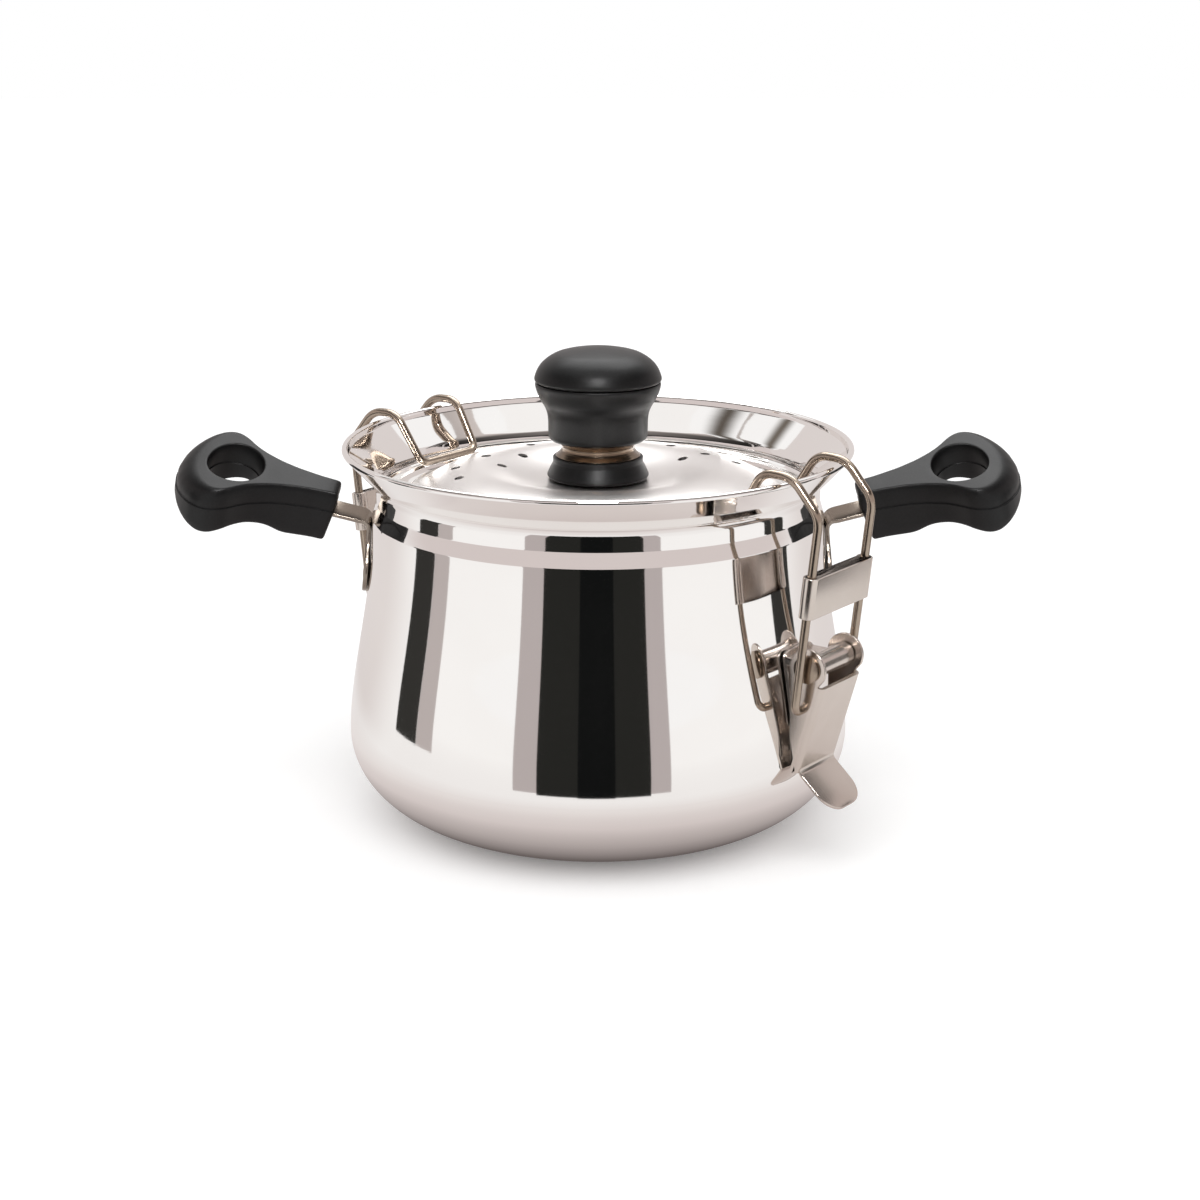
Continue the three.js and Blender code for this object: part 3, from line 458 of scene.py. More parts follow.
def seat_profile():
    """A ledge that rises gently to the neck, with a short collar below it."""
    out, low, level = NECK_R - SHEET - GAP, SEAT_TOP - COLLAR_H, SEAT_TOP + 0.3
    top = [[SEAT_R, SEAT_TOP], [out - 3.6, level], [out - 1.1, SEAT_TOP + 1.1], [out, SEAT_TOP + 1.9]]
    under = [[out, low], [out - SHEET, low], [out - SHEET, level], [out - 3.5, level - SHEET]]
    return softened([*top, *under, [SEAT_R, SEAT_TOP - SHEET], [SEAT_R, SEAT_TOP - 0.5 * SHEET]], 0.9)


build("pot_sheet", [turned(pot_profile(), 224)], "polished_steel", "pot", "pot_body")
build("seat_ledge", [turned(seat_profile(), 192)], "polished_steel", "pot", "seat_ring")


# Lid
def lid_profile():
    """Upper side from the screw hole out: a flat, a smooth step to the crown, a steepening fall, a band."""
    f = np.linspace(0, 1, 24)
    brim = LID_R - 3
    rise = np.stack([LID_FLAT_R + (CROWN_R - LID_FLAT_R) * f, LID_CENTRE + CROWN_H * ease(f)], 1)
    top, low = LID_CENTRE + CROWN_H, LID_CENTRE - EDGE_DROP + 0.5
    fall = np.stack([CROWN_R + (brim - CROWN_R) * f, top + (low - top) * f**2.1], 1)[1:-1]
    band = rounded([fall[-1], [brim, low], [LID_R - 0.4, low - 0.4]], [0, 1.6, 0])
    return np.concatenate([[[BORE, LID_CENTRE]], rise, fall[:-1], band, [[LID_R, low - 0.55]]])


def lid_shell():
    """The lid over rings and one-degree spokes. Round each strainer hole the points are pushed away from its
    middle, d to the root of d squared and a bell of d, sixteen of them onto its circle; the faces inside go,
    and a wall joins the upper side to the lower."""
    push, spread = 1.6, 3.5
    profile = lid_profile()
    stops, steps = (BORE, 32, 35, 44, 51, 54, LID_R), (23, 4, 12, 9, 4, 25)
    spans = [np.linspace(a, b, n + 1)[1:] for a, b, n in zip(stops, stops[1:], steps)]
    reach = np.concatenate([[BORE], *spans])
    az = np.radians(np.arange(360))
    plan = np.stack([reach[:, None] * np.sin(az), -reach[:, None] * np.cos(az)], -1)
    open_face = np.zeros((len(reach), 360), bool)
    side = np.arange(-2, 3)
    ring = np.array([(-2, j) for j in side[:-1]] + [(k, 2) for k in side[:-1]]
                    + [(2, j) for j in side[:0:-1]] + [(k, -2) for k in side[:0:-1]])
    rims = []
    for row, spokes in STRAIN_ROWS:
        for spoke in spokes:
            k0, j0 = int(np.argmin(abs(reach - row))), spoke % 360
            middle = plan[k0, j0].copy()
            off = plan - middle
            d = np.maximum(np.linalg.norm(off, axis=-1, keepdims=True), 1e-6)
            plan = middle + off * np.sqrt(d * d + push * np.exp(-((d / spread) ** 2))) / d
            rim = (k0 + ring[:, 0], (j0 + ring[:, 1]) % 360)
            plan[rim] = middle + STRAIN_R * unit(off[rim])
            open_face[k0 - 2 : k0 + 2, (j0 + np.arange(-2, 2)[None]) % 360] = True
            rims.append(rim[0] * 360 + rim[1])
    r = np.linalg.norm(plan, axis=-1)
    upper = np.interp(r, profile[:, 0], profile[:, 1])
    lower = np.maximum(upper - LID_SHEET, SEAT_TOP + 1.5 * GAP)
    top = np.concatenate([plan, upper[..., None]], -1)
    low = np.concatenate([plan, lower[..., None]], -1)[::-1]
    half = (upper[-1, 0] - lower[-1, 0]) / 2
    t = np.radians([60, 30, 0, -30, -60])[:, None]
    # The rim is drawn in by half its thickness, so that its round nose ends at the lid's radius
    shrink = (LID_R - half * (1 - np.cos(t))) / LID_R
    nose = np.concatenate([plan[-1] * shrink[..., None], (upper[-1] - half * (1 - np.sin(t)))[..., None]], -1)
    top[-1, :, :2] *= (LID_R - half) / LID_R
    low[0, :, :2] *= (LID_R - half) / LID_R
    grid = np.concatenate([top, nose, low])
    rows = len(grid)
    hole = np.zeros((rows, 360), bool)
    hole[: len(reach)] = open_face
    hole[rows - len(reach) : -1] = open_face[::-1][1:]
    faces = quads(rows, 360, wrap_rows=True)[~hole.ravel()]
    rims = np.array(rims)
    under = (rows - 1 - rims // 360) * 360 + rims % 360
    on, under_on = np.roll(rims, -1, 1), np.roll(under, -1, 1)
    walls = np.stack([on, rims, under, under_on], -1).reshape(-1, 4)
    return shell(grid.reshape(-1, 3), [np.concatenate([faces, walls])])


build("lid_sheet", [lid_shell()], "polished_steel", "lid_set", "lid", finish=LID_FINISH)


# Knob
stand = LID_CENTRE + GAP
base_top = stand + BASE_H
ferrule_low = base_top + GAP
ferrule_top = ferrule_low + FERRULE_H
grip_low = ferrule_top + GAP
seam = grip_low + KNOB_H
cap_low = seam + GAP


def knob_base_profile():
    """A foot that swells just above the lid and draws in towards the collar."""
    # From the foot's radius and lower face
    side = [[-2.6, 0], [-0.6, 0.4], [0, 1.3], [-0.65, 2.9], [-1.4, 4.4], [-2.2, 6]]
    side += [[-2.1, BASE_H - 0.4], [-2.5, BASE_H]]
    return softened([[BORE, stand], *(np.array(side) + (BASE_R, stand)), [BORE, base_top]], 0.9)


def ferrule_profile():
    """A plain collar, hollowed as a half sine between its rims."""
    z = np.linspace(0, 1, 9)
    r = FERRULE_R - FERRULE_WAIST * np.sin(np.pi * z)
    side = np.stack([r, ferrule_low + FERRULE_H * z], 1)
    return softened([[BORE, ferrule_low], [FERRULE_R - 0.5, ferrule_low], *side, [BORE, ferrule_top]], 0.5)


def knob_grip_profile():
    """A straight foot that widens in a long curve to the seam, with a spigot for the cap above it."""
    pocket, roof = INSERT_R + GAP, grip_low + GAP + INSERT_H + GAP
    # From the foot's radius and lower end, then from the cap's radius and the seam
    foot = np.array([[-1.1, 0], [-0.2, 0.7], [0, 3], [0, 7], [0.35, 9.8], [1.2, 12], [2.6, 14.1]])
    brow = np.array([[-1.25, -4.2], [-0.5, -2], [-0.25, -0.5], [-0.6, 0]])
    side = softened([*(foot + (KNOB_R, grip_low)), *(brow + (CAP_R, seam))], NO_STEP)
    spigot = [[SPIGOT_R, seam], [SPIGOT_R, seam + SPIGOT_H], [0, seam + SPIGOT_H]]
    return [[pocket, grip_low], *side, *spigot, [0, roof], [pocket, roof], [pocket, grip_low + 0.5]]


def knob_cap_profile():
    """A rounded rim and a low dome, by the table of the cap's outline with its corners cut back in turn."""
    roof = seam + SPIGOT_H + GAP
    dome = softened(CAP_LINE * (CAP_R, CAP_H) + (0, cap_low), NO_STEP)
    return softened([[0, roof], [SPIGOT_R + GAP, roof], [SPIGOT_R + GAP, cap_low], *dome], 0.7, 2)


collar = turned(ferrule_profile(), 96)
grip = turned(softened(knob_grip_profile(), 0.9, 2), 96)
build("knob_foot", [turned(knob_base_profile(), 96)], "black_moulding", "lid_set", "knob_base")
build("knob_collar", [collar], "bright_wire", "lid_set", "knob_ferrule", finish=COLLAR_TINT_AND_PAINTED_SHADE)
build("knob_body", [grip], "black_moulding", "lid_set", "knob_grip")
build("knob_top", [turned(knob_cap_profile(), 96)], "black_moulding", "lid_set", "knob_cap")

washer_top = LID_CENTRE - LID_SHEET - GAP
washer_low = washer_top - WASHER_T
head_top = washer_low - GAP
head_low = head_top - HEAD_H
screw_top = grip_low + GAP + INSERT_H - 1
washer = [[BORE, washer_low], [WASHER_R, washer_low], [WASHER_R, washer_top], [BORE, washer_top]]
washer.append([BORE, washer_top - WASHER_T / 2])
screw = [[0, head_low], [HEAD_R - 1.2, head_low], [HEAD_R, head_low + HEAD_H / 2], [HEAD_R, head_top]]
screw += [[SCREW_R, head_top], [SCREW_R, screw_top], [0, screw_top]]
build("knob_washer_disc", [turned(softened(washer, 0.4), 64)], "satin_steel", "lid_set", "knob_washer")
build("knob_screw_turned", [turned(softened(screw, 0.5), 64)], "satin_steel", "lid_set", "knob_screw")


# Side handles
def grip_axes(side):
    """The grip's own axes on one side: outwards and up by the tilt, its top face rolled towards the front."""
    out = np.array([side * math.cos(GRIP_TILT), 0, math.sin(GRIP_TILT)])
    level = np.array([-side * math.sin(GRIP_TILT), 0, math.cos(GRIP_TILT)])
    roll = side * GRIP_ROLL
    up = level * math.cos(roll) + np.cross(out, level) * math.sin(roll)
    return GRIP_AT * (side, 1, 1), out, np.cross(up, out), up


def grip_outlines(count=320):
    """The grip's outline and that of its flat top, point for point: a neck that widens into a ring."""
    half = GRIP_PLAN * (GRIP_L, RING_W, GRIP_L, RING_W)
    both = np.concatenate([half, half[-2::-1] * (1, -1, 1, -1), half[:1]])
    s = lengths(both[:, :2])
    even = np.linspace(0, s[-1], count, endpoint=False)
    both = ring_smoothed(sampled(both, s, even), 2.4)
    return both[:, :2], both[:, 2:]


def grip_under(s):
    """Height of the underside along the grip: deep under the neck, arched behind it, then falling towards the
    tip; straight stretches between the table's points, averaged by a bell curve."""
    fine = np.linspace(-4, GRIP_L + 5, 700)
    level = np.interp(fine, GRIP_UNDER[:, 0] * GRIP_L, -GRIP_UNDER[:, 1] * GRIP_DOWN)
    k = np.exp(-0.5 * (np.arange(-45, 46) / 13) ** 2)
    smooth = np.convolve(np.pad(level, 45, mode="edge"), k / k.sum(), mode="valid")
    return np.interp(s, fine, smooth)


def grip_shell():
    """Rings of points carried round the grip's section: up the side, over a quarter ellipse to the flat top,
    across to the finger hole, down it past a small ledge and back beneath, with a fine parting line round the
    side. The upper part droops with the square of the way to the tip, and the inner end leans back."""
    full, flat = grip_outlines()
    out = right_of(unit(np.roll(full, -1, 0) - np.roll(full, 1, 0)))
    out *= np.sign(np.einsum("ij,ij->", out, full - (RING_S, 0)))
    hub = unit(full - (RING_S, 0))
    rows = []

    def put(p, z):
        """One more ring of points, at a height."""
        rows.append(np.concatenate([p, np.broadcast_to(z, (len(full), 1))], 1))

    def low(p):
        """Height of the underside at each point."""
        return grip_under(p[:, 0])[:, None]

    def droop(p):
        """Fall of the upper part: the square of the share of the way to the tip."""
        return DROOP * (np.maximum(p[:, :1] - DROOP_S, 0) / (GRIP_L - DROOP_S)) ** 2

    def drooped(p, z):
        """A ring lowered by that fall."""
        put(p, z - droop(p))

    def hole(r):
        """A circle round the finger hole, point for point with the outline."""
        return (RING_S, 0) + r * hub

    soft, line, edge, ledge, dish, proud = 1.5, 2.4, 0.7, 0.35, 2.6, 0.4
    quarter = np.radians([0, 22, 45, 68, 90])
    for a in quarter:
        put(full - out * soft * (1 - math.sin(a)), low(full) + soft * (1 - math.cos(a)))
    start = low(full) + soft
    for f in (0.25, 0.5, 0.75):
        put(full, start + (line - 0.5 - droop(full) - start) * f)
    # The lower half stands 0.4 mm proud of the upper half, so that its edge catches the light
    step = ((-0.45, 0), (-0.12, 0), (-0.03, 0.06), (0, 0.16), (0.02, 0.36), (0.1, proud), (0.3, proud))
    for dz, inset in step:
        drooped(full - inset * out, line + dz)
    upper = full - proud * out
    for a in np.radians(np.linspace(0, 90, 13)):
        drooped(upper + (flat - upper) * (1 - math.cos(a)), GRIP_UP - EDGE_UP * (1 - math.sin(a)))
    for f in (0.06, 0.3, 0.6, 0.9):
        drooped(flat + (hole(FINGER_R + edge) - flat) * f, GRIP_UP)
    for a in quarter:
        drooped(hole(FINGER_R + edge * (1 - math.sin(a))), GRIP_UP - edge * (1 - math.cos(a)))
    for z in (6.0, 3.0, 1.5, 1.3):
        put(hole(FINGER_R), z)
    for inset, z in ((0.1, 1.2), (ledge - 0.1, 1.2), (ledge, 1.1), (ledge, 0.8)):
        put(hole(FINGER_R - inset), z)
    wall = hole(FINGER_R - ledge)
    foot = low(wall) + dish
    put(wall, 0.5 * (foot + edge))
    for a in quarter[::-1]:
        put(hole(FINGER_R - ledge + edge * (1 - math.sin(a))), foot + edge * (1 - math.cos(a)))
    inner, rim = hole(FINGER_R - ledge + edge), full - out * soft
    for f in np.linspace(0.08, 0.94, 14):
        p = inner + (rim - inner) * f
        put(p, (low(p) if f < 0.9 else low(full)) + dish * (1 - ease(f)))
    grid = np.array(rows)
    lean = END_LEAN * (GRIP_UP - grid[..., 2]) / (GRIP_UP + GRIP_DOWN)
    grid[..., 0] += lean * np.clip(1 - grid[..., 0] / (GRIP_PLAN[1, 0] * GRIP_L), 0, 1)
    return skin(grid, wrap_rows=True)


def tongue_width(f):
    """Width along the strap by the share of the tongue's length: a disc, then a waist, then the bar."""
    disc = np.array([0, 0.004, 0.012, 0.025, 0.05, 0.08, 0.12, 0.17, 0.23, 0.3, 0.38, 0.46, 0.53, 0.58])
    width = np.sqrt(np.maximum(1 - ((disc - 0.38) / 0.38) ** 2, 0.008))
    at = np.concatenate([disc, [0.64, 0.7, 0.78, 0.84, 0.92]])
    share = np.concatenate([width, [0.755, 0.65, 0.53, 0.47, STRAP_W / TONGUE_W]])
    return TONGUE_W * np.interp(f, at, share)


def strap_shell(side):
    """A rounded bar section carried up the wall, round one bend and into the grip, with a twist to its roll;
    the tongue is bent to the wall by its distance from the middle, squared, over twice the wall's radius."""
    off, top = GAP + STRAP_T / 2, TONGUE_LOW + TONGUE_L
    low = np.array([wall_r(TONGUE_LOW) + off, 0, TONGUE_LOW])
    high = np.array([wall_r(top) + off, 0, top])
    lean = unit(high - low)
    tilt = np.array([math.cos(GRIP_TILT), 0, math.sin(GRIP_TILT)])
    back = np.cross(GRIP_AT - low, lean)[1] / np.cross(tilt, lean)[1]
    corner = GRIP_AT - back * tilt
    path = refined(rounded([low, corner, GRIP_AT + TANG * tilt], [0, 2.2 * STRAP_T, 0], 16), 0.5)
    s = lengths(path)
    # Closer points where the tongue's round end begins
    near = np.unique(np.concatenate([s, [0.02, 0.06, 0.12, 0.2, 0.3, 0.42]]))
    path = sampled(path, s, near)
    along = unit(np.gradient(path, axis=0))
    f = near / np.linalg.norm(high - low)
    width = np.maximum(tongue_width(f), STRAP_T)
    bend = np.linalg.norm(corner - low)
    roll = GRIP_ROLL * ease(np.clip((near - bend + 3 * STRAP_T) / (5 * STRAP_T), 0, 1))[:, None]
    across = np.broadcast_to([0.0, -1.0, 0.0], path.shape)
    wide = across * np.cos(roll) + np.cross(along, across) * np.sin(roll)
    thick = np.cross(wide, along)
    u, v = bar_section(width / 2, STRAP_T / 2, 0.4)
    grid = path[:, None] + u[..., None] * wide[:, None] + v[..., None] * thick[:, None]
    hug = np.clip((1.0 - f) / 0.2, 0, 1)[:, None]
    grid[..., 0] -= hug * grid[..., 1] ** 2 / (2 * wall_r(TONGUE_LOW + 8))
    return pinched(grid * (side, 1, 1))


for name, side in (("left", -1), ("right", 1)):
    moulding = placed(grip_shell(), *grip_axes(side))
    build(f"{name}_handle", [moulding], "black_moulding", "pot", f"{name}_grip")
    build(f"{name}_bar", [strap_shell(side)], "satin_steel", "pot", f"{name}_strap", finish=STRAP_FINISH)


# Latches, in their own frame: X outwards from the pot's axis, Y across, Z up
def at_azimuth(parts, az):
    """A latch's shells turned about the pot's axis to its azimuth from the front."""
    x, y = (math.sin(az), -math.cos(az), 0), (math.cos(az), math.sin(az), 0)
    return [placed(part, (0, 0, 0), x, y, (0, 0, 1)) for part in parts]


def cross_turned(profile, segments=64):
    """A profile of radius and Y carried round the pin's axis."""
    return placed(turned(profile, segments), (PIVOT[0], 0, PIVOT[1]), (1, 0, 0), (0, 0, -1), (0, 1, 0))


def side_plate(outline, low, high, edge=0.25):
    """A plate in the latch's side view, from one value of Y to another."""
    return placed(plate(outline, low, high, edge), (0, 0, 0), (1, 0, 0), (0, 0, 1), (0, 1, 0))


def pin_shell():
    """A shank with a low domed head at each end: the dome's height falls with the square of the radius."""
    start = LEVER_W / 2 + GAP
    r = np.linspace(PIN_HEAD_R, 0, 12)
    dome = np.stack([r, start + 0.9 + (PIN_HEAD_T - 0.9) * (1 - (r / PIN_HEAD_R) ** 2)], 1)
    shank = [[PIN_R, 0], [PIN_R, start], [PIN_HEAD_R - 0.2, start], [PIN_HEAD_R, start + 0.2]]
    half = np.concatenate([shank, dome])
    return cross_turned(np.concatenate([(half * (1, -1))[::-1], half[1:]]))


def bracket_shells():
    """A foot plate along the wall, a web that stands on it and a rolled knuckle round the pin."""
    low, high = PIVOT[1] - FOOT_DOWN, PIVOT[1] + FOOT_UP
    back = np.array([[wall_r(low) + GAP, low], [wall_r(high) + GAP, high]])
    lean = unit(back[1] - back[0])
    size = np.linalg.norm(back[1] - back[0])
    w = FOOT_W / 2
    outline = rounded([[-w, 0], [w, 0], [w, size], [-w, size]], [3, 3, 3, 3], 8, loop=True)
    foot = placed(plate(refined_ring(outline, 1.0), 0, FOOT_T, 0.3), (back[0, 0], 0, low),
                  (0, 1, 0), (lean[0], 0, lean[1]), (lean[1], 0, -lean[0]))
    near = back[0, 0] + (back[1, 0] - back[0, 0]) * FOOT_DOWN / (high - low) + FOOT_T / 2
    far = PIVOT[0] - PIN_R - GAP - 0.2
    under, over = PIVOT[1] - ARM_T / 2, PIVOT[1] + ARM_T / 2
    web = np.array([[near, under], [far, under], [far, over], [near, over]])
    arm = side_plate(refined_ring(web, 0.5), -w, w, 0.3)
    half = LEVER_W / 2 - PLATE - 2 * GAP
    inner = PIN_R + GAP
    tube = [[inner, -half], [KNUCKLE_R, -half], [KNUCKLE_R, half], [inner, half], [inner, 0]]
    return [foot, arm, cross_turned(softened(tube, 0.5))]


def lever_shells():
    """A pressed channel: a web whose long edges are rolled into side plates that end in round ears, and below
    it a thumb tab that bends outwards to a round end."""
    half, bend = LEVER_W / 2, 2.0
    down = unit(WEB_LOW - WEB_TOP)
    inward = np.array([down[1], -down[0]])
    a = np.radians(np.linspace(-25, 200, 40))
    ear = PIVOT + EAR_R * np.stack([np.cos(a), np.sin(a)], 1)
    edge = PIVOT[0] - EAR_R + 0.5
    rear = [[edge, WIRE_HOLE[1] + 4], [edge, WIRE_HOLE[1] - 10], [edge + 0.8, WEB_LOW[1] + 5.6]]
    low = [WEB_LOW + (-PLATE, 1.2), WEB_LOW + bend * inward]
    outline = refined_ring(np.concatenate([[WEB_TOP + bend * inward], ear, rear, low]), 0.8)
    sides = [side_plate(outline, half - PLATE, half - HAIR), side_plate(outline, HAIR - half, PLATE - half)]
    # The channel's section: across the lever, and inwards from its outer face
    q = np.radians(np.linspace(0, 90, 7))
    arc = np.stack([np.sin(q), -np.cos(q)], 1)
    middle = np.array([half - bend, bend])
    line = np.stack([np.linspace(0, half - bend, 8)[:-1], np.zeros(7)], 1)
    outer = np.concatenate([line, middle + bend * arc, [[half, bend + 1]]])
    inner = np.concatenate([line + (0, PLATE), middle + (bend - PLATE) * arc, [[half - PLATE, bend + 1]]])
    section = np.concatenate([(outer * (-1, 1))[::-1], outer[1:], inner[::-1], (inner * (-1, 1))[1:]])
    length = np.linalg.norm(WEB_LOW - WEB_TOP)
    s = np.concatenate([[0, 0.08, 0.2, 0.4], np.linspace(1, length - 1, 24), [length - 0.3, length]])
    flat = (WEB_TOP + s[:, None] * down)[:, None] + section[None, :, 1:] * inward
    web = capped(np.stack([flat[..., 0], np.broadcast_to(section[:, 0], flat.shape[:2]), flat[..., 1]], -1))
    # The tab: a flat bar section on a path that follows the web's end, bends and runs to the tab's tip
    slope = np.array([math.cos(TAB_SLOPE), -math.sin(TAB_SLOPE)])
    mid = WEB_LOW + inward * PLATE / 2
    path = refined(rounded([mid - 7 * down, mid, mid + slope * (TAB_L - 0.2)], [0, 3.2, 0], 14), 0.6)
    s = lengths(path)
    total = s[-1]
    stations = np.unique(np.concatenate([s, total - np.array([0.02, 0.06, 0.12, 0.2, 0.32, 0.48])]))
    path = sampled(path, s, stations)
    normal = right_of(unit(np.gradient(path, axis=0)))
    left = np.maximum(TAB_CORNER - (total - stations), 0)
    wide = TAB_W / 2 - TAB_CORNER + np.sqrt(np.maximum(TAB_CORNER**2 - left**2, 0.01))
    u, v = bar_section(wide, PLATE / 2 - HAIR, 0.45)
    flat = path[:, None] + v[..., None] * normal[:, None]
    tab = pinched(np.stack([flat[..., 0], u, flat[..., 1]], -1))
    return [web, *sides, tab]


def bail_shell():
    """A round wire along one half of its path, mirrored across the latch. The section stands on the path's
    normal in the side view, which keeps its direction where the wire runs straight across."""
    end = LEVER_W / 2 - PLATE - 2
    flat = [WIRE_HOLE, WIRE_HOLE, ELBOW, CREST_OUT, CREST_IN, BAR, BAR]
    y = [end, LEG_W / 2, LEG_W / 2, LEG_W / 2, LEG_W / 2, BAR_W / 2, 0]
    corners = [[p[0], w, p[1]] for p, w in zip(flat, y)]
    path = refined(rounded(corners, [0, 3, 8.5, 10.5, 7.5, 3.5, 0], 14), 1.2)
    along = unit(np.gradient(path, axis=0))
    along[-1] = (0, -1, 0)
    steep = np.hypot(along[:, 0], along[:, 2]) > 0.25
    turn = np.unwrap(np.arctan2(along[steep, 2], along[steep, 0]))
    angle = np.interp(np.arange(len(path)), np.flatnonzero(steep), turn)
    normal = np.stack([-np.sin(angle), 0 * angle, np.cos(angle)], 1)
    normal = unit(normal - along * np.einsum("ij,ij->i", normal, along)[:, None])
    side = np.cross(along, normal)
    a = np.linspace(0, 2 * np.pi, 28, endpoint=False)[:, None]
    grid = path[:, None] + WIRE_R * (np.cos(a) * normal[:, None] + np.sin(a) * side[:, None])
    first = np.broadcast_to(path[0], grid[:1].shape)
    half = np.concatenate([first, grid])
    return skin(np.concatenate([half, (half * (1, -1, 1))[-2::-1]]))


def clip_shell():
    """A sheet band rolled round each leg and run across in front of them: its outline seen along the legs,
    given the band's height."""
    leg = unit(ELBOW - WIRE_HOLE)
    r = WIRE_R + GAP + CLIP_T / 2
    a = np.radians(np.linspace(292, 0, 40))
    half = np.stack([r * np.cos(a), LEG_W / 2 + r * np.sin(a)], 1)
    line = refined(np.concatenate([half, (half * (1, -1))[::-1]]), 0.6)
    out = right_of(unit(np.gradient(line, axis=0))) * CLIP_T / 2
    outline = np.concatenate([line + out, (line - out)[::-1]])
    at = WIRE_HOLE + CLIP_S * leg
    return placed(plate(outline, -CLIP_H / 2, CLIP_H / 2, 0.25), (at[0], 0, at[1]),
                  (leg[1], 0, -leg[0]), (0, 1, 0), (leg[0], 0, leg[1]))


for name, az in (("front", LATCH_AZ), ("rear", LATCH_AZ + math.pi)):
    build(f"{name}_hinge_foot", at_azimuth(bracket_shells(), az), "satin_steel", "pot", f"{name}_bracket")
    build(f"{name}_rivet", at_azimuth([pin_shell()], az), "bright_wire", "pot", f"{name}_pin")
    build(f"{name}_toggle", at_azimuth(lever_shells(), az), "satin_steel", f"{name}_latch", f"{name}_lever")
    wire = f"{name}_wire"
    build(f"{name}_wire_loop", at_azimuth([bail_shell()], az), "bright_wire", wire, f"{name}_bail")
    build(f"{name}_band", at_azimuth([clip_shell()], az), "satin_steel", wire, f"{name}_clip")

for node, slot in (("knob_insert", "brass"), ("left_screw", "satin_steel"), ("right_screw", "satin_steel")):
    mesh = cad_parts[node].data
    mesh.materials.clear()
    mesh.materials.append(FINISH[slot])


# Studio
RIM_Z = 128
TO_RIM = (0, RIM_Z)


def mixed(first, last, share):
    """Two hex colours as linear light: the first times 1 - share, and the last times the share."""
    return np.array(linear(first)) * (1 - share) + np.array(linear(last)) * share


def staged(name, points, faces, colour, strength=1.0, shades=None):
    """A piece of the studio that only mirrors see, in one even colour or in its points' own shades."""
    mesh = bpy.data.meshes.new(name)
    mesh.from_pydata((np.asarray(points, float) * MM).tolist(), [], np.asarray(faces).tolist())
    look = bpy.data.materials.new(name)
    look.use_nodes = True
    tree = look.node_tree
    tree.nodes.clear()
    glow = add(tree, "ShaderNodeEmission", {"Color": linear(colour), "Strength": strength})
    add(tree, "ShaderNodeOutputMaterial", {"Surface": glow.outputs[0]})
    if shades is not None:
        layer = mesh.color_attributes.new("shade", "FLOAT_COLOR", "POINT")
        layer.data.foreach_set("color", np.ravel(shades))
        shade = add(tree, "ShaderNodeVertexColor", layer_name="shade")
        feed(tree, glow, {"Color": shade.outputs["Color"]})
    mesh.materials.append(look)
    piece = shown(name, mesh)
    piece.visible_camera = piece.visible_diffuse = False
    piece.visible_shadow = piece.visible_transmission = False


def card(name, az, radius, heights, colour, top=None):
    """A standing curved card between two azimuths, in degrees from the front towards +X; with a top colour it
    runs to that one by a smooth step of the height's share."""
    rows, cols = 16, 48
    a = np.radians(np.linspace(*az, cols))
    f = np.linspace(0, 1, rows)[:, None]
    x, y = radius * np.sin(a), -radius * np.cos(a)
    grid = np.stack([x + 0 * f, y + 0 * f, heights[0] + f * (heights[1] - heights[0]) + 0 * a], -1)
    share = np.broadcast_to(ease(f)[..., None], (rows, cols, 1))
    faces = quads(rows, cols).reshape(rows - 1, cols, 4)[:, :-1].reshape(-1, 4)
    shade = mixed(colour, top or colour, share)
    staged(name, grid.reshape(-1, 3), faces, colour, shades=shade)


def facing(toward, distance, across):
    """The middle of a flat card out along a direction from the rim, and the card's own two directions."""
    toward = unit(np.array(toward, float))
    across = np.array(across, float)
    across = unit(across - toward * (across @ toward))
    return np.array([0, 0, RIM_Z]) + distance * toward, across, np.cross(toward, across)


def panel(name, toward, distance, across, width, length, colour, strength=1.0):
    """A flat card out along a direction from the rim, width wide along across and length long."""
    middle, across, other = facing(toward, distance, across)
    signs = np.array([(-1, -1), (1, -1), (1, 1), (-1, 1)])
    corners = middle + signs[:, :1] * across * width / 2 + signs[:, 1:] * other * length / 2
    staged(name, corners, [[0, 1, 2, 3]], colour, strength)


def soft_flag(name, toward, distance, across, width, length, colour, edge="#ffffff"):
    """A flat card like a panel whose colour runs to the edge colour on both sides by a squared cosine."""
    middle, across, other = facing(toward, distance, across)
    u = np.linspace(-1, 1, 25)[:, None]
    shade = mixed(edge, colour, np.cos(u * np.pi / 2) ** 2)
    side = middle + u * across * width / 2
    points = np.concatenate([side - other * length / 2, side + other * length / 2])
    k = np.arange(len(u) - 1)
    faces = np.stack([k, k + 1, k + 1 + len(u), k + len(u)], 1)
    staged(name, points, faces, colour, shades=np.tile(shade, (2, 1)))


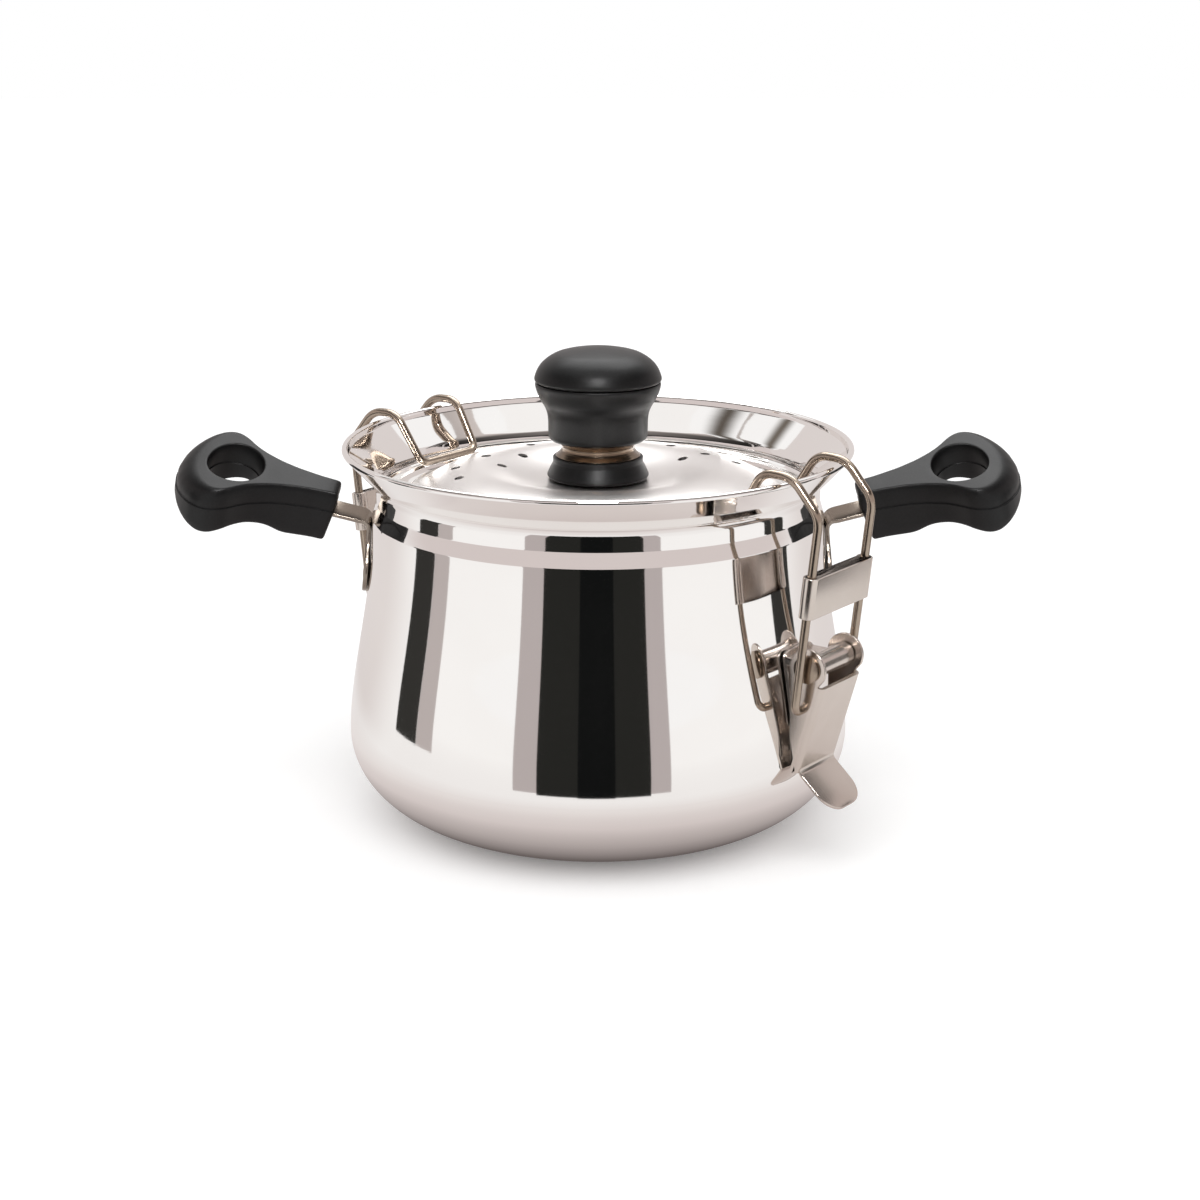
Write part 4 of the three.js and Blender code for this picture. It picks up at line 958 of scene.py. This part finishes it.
def floor_shade():
    """A flat ring on the floor round the pot, darker towards it by a table of radii, and dimmer behind and
    beside the pot by smooth steps of azimuth and radius: the shade that the bowl and the sides mirror."""
    at = np.array([50, 69.5, 86, 104, 140, 200, 520])
    codes = ("#1f1b19", "#6f6765", "#b5acaa", "#d8cfcd", "#e9e3e1", "#f6f4f3", "#fefdfc")
    stops = np.array([linear(code) for code in codes])
    r = np.concatenate([np.linspace(52, 200, 60), np.geomspace(210, 6000, 60)])[:, None]
    a = np.linspace(-np.pi, np.pi, 180, endpoint=False)
    grid = np.stack([r * np.sin(a), -r * np.cos(a), 0 * r * a + 0.05], -1)
    side = ease(np.clip((np.abs(np.degrees(a)) - 88) / 34, 0, 1)) * ease(np.clip((r - 130) / 150, 0, 1))
    shade = np.stack([np.interp(r[:, 0], at, stops[:, k]) for k in range(4)], -1)[:, None]
    dim = 1 - np.array(linear("#ded7d5")) / np.array(linear("#f6f4f3"))
    shade = shade * (1 - side[..., None] * dim)
    staged("floor_shade", grid.reshape(-1, 3), quads(len(r), len(a)), "#ffffff", shades=shade)


card("card_front", (-21.5, 18.5), 224, TO_RIM, "#262624")
card("card_front_core", (-7, 6), 220, TO_RIM, "#121313")
card("card_front_left", (-30.5, -21.5), 235, TO_RIM, "#b9b0af")
card("card_front_right", (18.5, 26), 235, TO_RIM, "#b9b0af")
card("card_side_left", (-91.5, -78.5), 330, TO_RIM, "#343331")
card("card_side_left_edge", (-78.5, -69.5), 332, TO_RIM, "#bdb4b2")
card("card_side_right", (83, 97), 330, TO_RIM, "#343331")
card("card_lower_front", (-115, 115), 600, (100, 190), "#fefdfc", "#d9cfcd")
card("card_upper_front", (-115, 115), 600, (190, 400), "#d9cfcd")
card("card_front_high", (-115, 115), 900, (510, 1500), "#1d1c1b", "#cfc6c2")
card("card_back", (98, 262), 900, (0, 700), "#e0d9d7")
panel("softbox_top", (0, 0.46, 1), 1200, (1, 0, 0), 1300, 900, "#ffffff", 4.6)
panel("ceiling_front", (0, -0.28, 1), 1150, (1, 0, 0), 1600, 640, "#fcfbfa")
panel("lamp_front", (0, -0.78, 0.62), 700, (1, 0, 0), 170, 150, "#ffffff", 38.0)
soft_flag("flag_left_high", (-0.57, 0.15, 0.805), 900, (0.095, -0.564, 0.312), 230, 600, "#5d564f")
soft_flag("flag_left_low", (-0.61, 0.5, 0.6), 900, (0.095, -0.564, 0.312), 170, 600, "#6e665e")
floor_shade()

floor_mesh = bpy.data.meshes.new("floor")
floor_mesh.from_pydata([(-4, -4, 0), (4, -4, 0), (4, 4, 0), (-4, 4, 0)], [], [(0, 1, 2, 3)])
floor_look = bpy.data.materials.new("white_paper_sweep")
floor_look.use_nodes = True
floor_tree = floor_look.node_tree
# The paper's own white where the camera looks straight at it; nothing else is lit by it
looked_at = add(floor_tree, "ShaderNodeLightPath").outputs["Is Camera Ray"]
paper = add(floor_tree, "ShaderNodeMapRange", {"Value": looked_at, 4: 0.14})
feed(floor_tree, floor_tree.nodes["Principled BSDF"], {
    "Base Color": linear("#fafafa"), "Roughness": 0.9, "Specular IOR Level": 0.0,
    "Emission Color": linear("#ffffff"), "Emission Strength": paper.outputs[0],
})
floor_mesh.materials.append(floor_look)
floor = shown("floor", floor_mesh)
floor.location.z = -0.0002

world = bpy.data.worlds.new("studio")
world.use_nodes = True
sky = world.node_tree
ray = add(sky, "ShaderNodeLightPath").outputs
direct = ray["Is Camera Ray"]
for kind in ("Is Glossy Ray", "Is Transmission Ray"):
    direct = add(sky, "ShaderNodeMath", {0: direct, 1: ray[kind]}, operation="MAXIMUM").outputs[0]
level = add(sky, "ShaderNodeMapRange", {"Value": direct, 3: 0.78, 4: 1.0})
feed(sky, sky.nodes["Background"], {"Color": linear("#ffffff"), "Strength": level.outputs[0]})
scene.world = world

sun = bpy.data.lights.new("softbox_above", "SUN")
sun.energy = 1.1
sun.angle = math.radians(60)
sun_object = shown("softbox_above", sun)
sun_object.rotation_euler = (math.radians(38), math.radians(-4), 0)
sun_object.visible_glossy = False

# The focal length in pixels of the photograph, and the photograph's width
FOCAL_PX, PHOTO_PX = 2287.7, 1200
camera = bpy.data.cameras.new("camera")
camera.sensor_width = 36
camera.lens = FOCAL_PX * camera.sensor_width / PHOTO_PX
camera_object = shown("camera", camera)
camera_object.location = (0.0007, -0.8, 0.3065)
camera_object.rotation_euler = (math.radians(74), 0, 0)
scene.camera = camera_object

scene.view_settings.view_transform = "Standard"

bpy.context.view_layer.update()
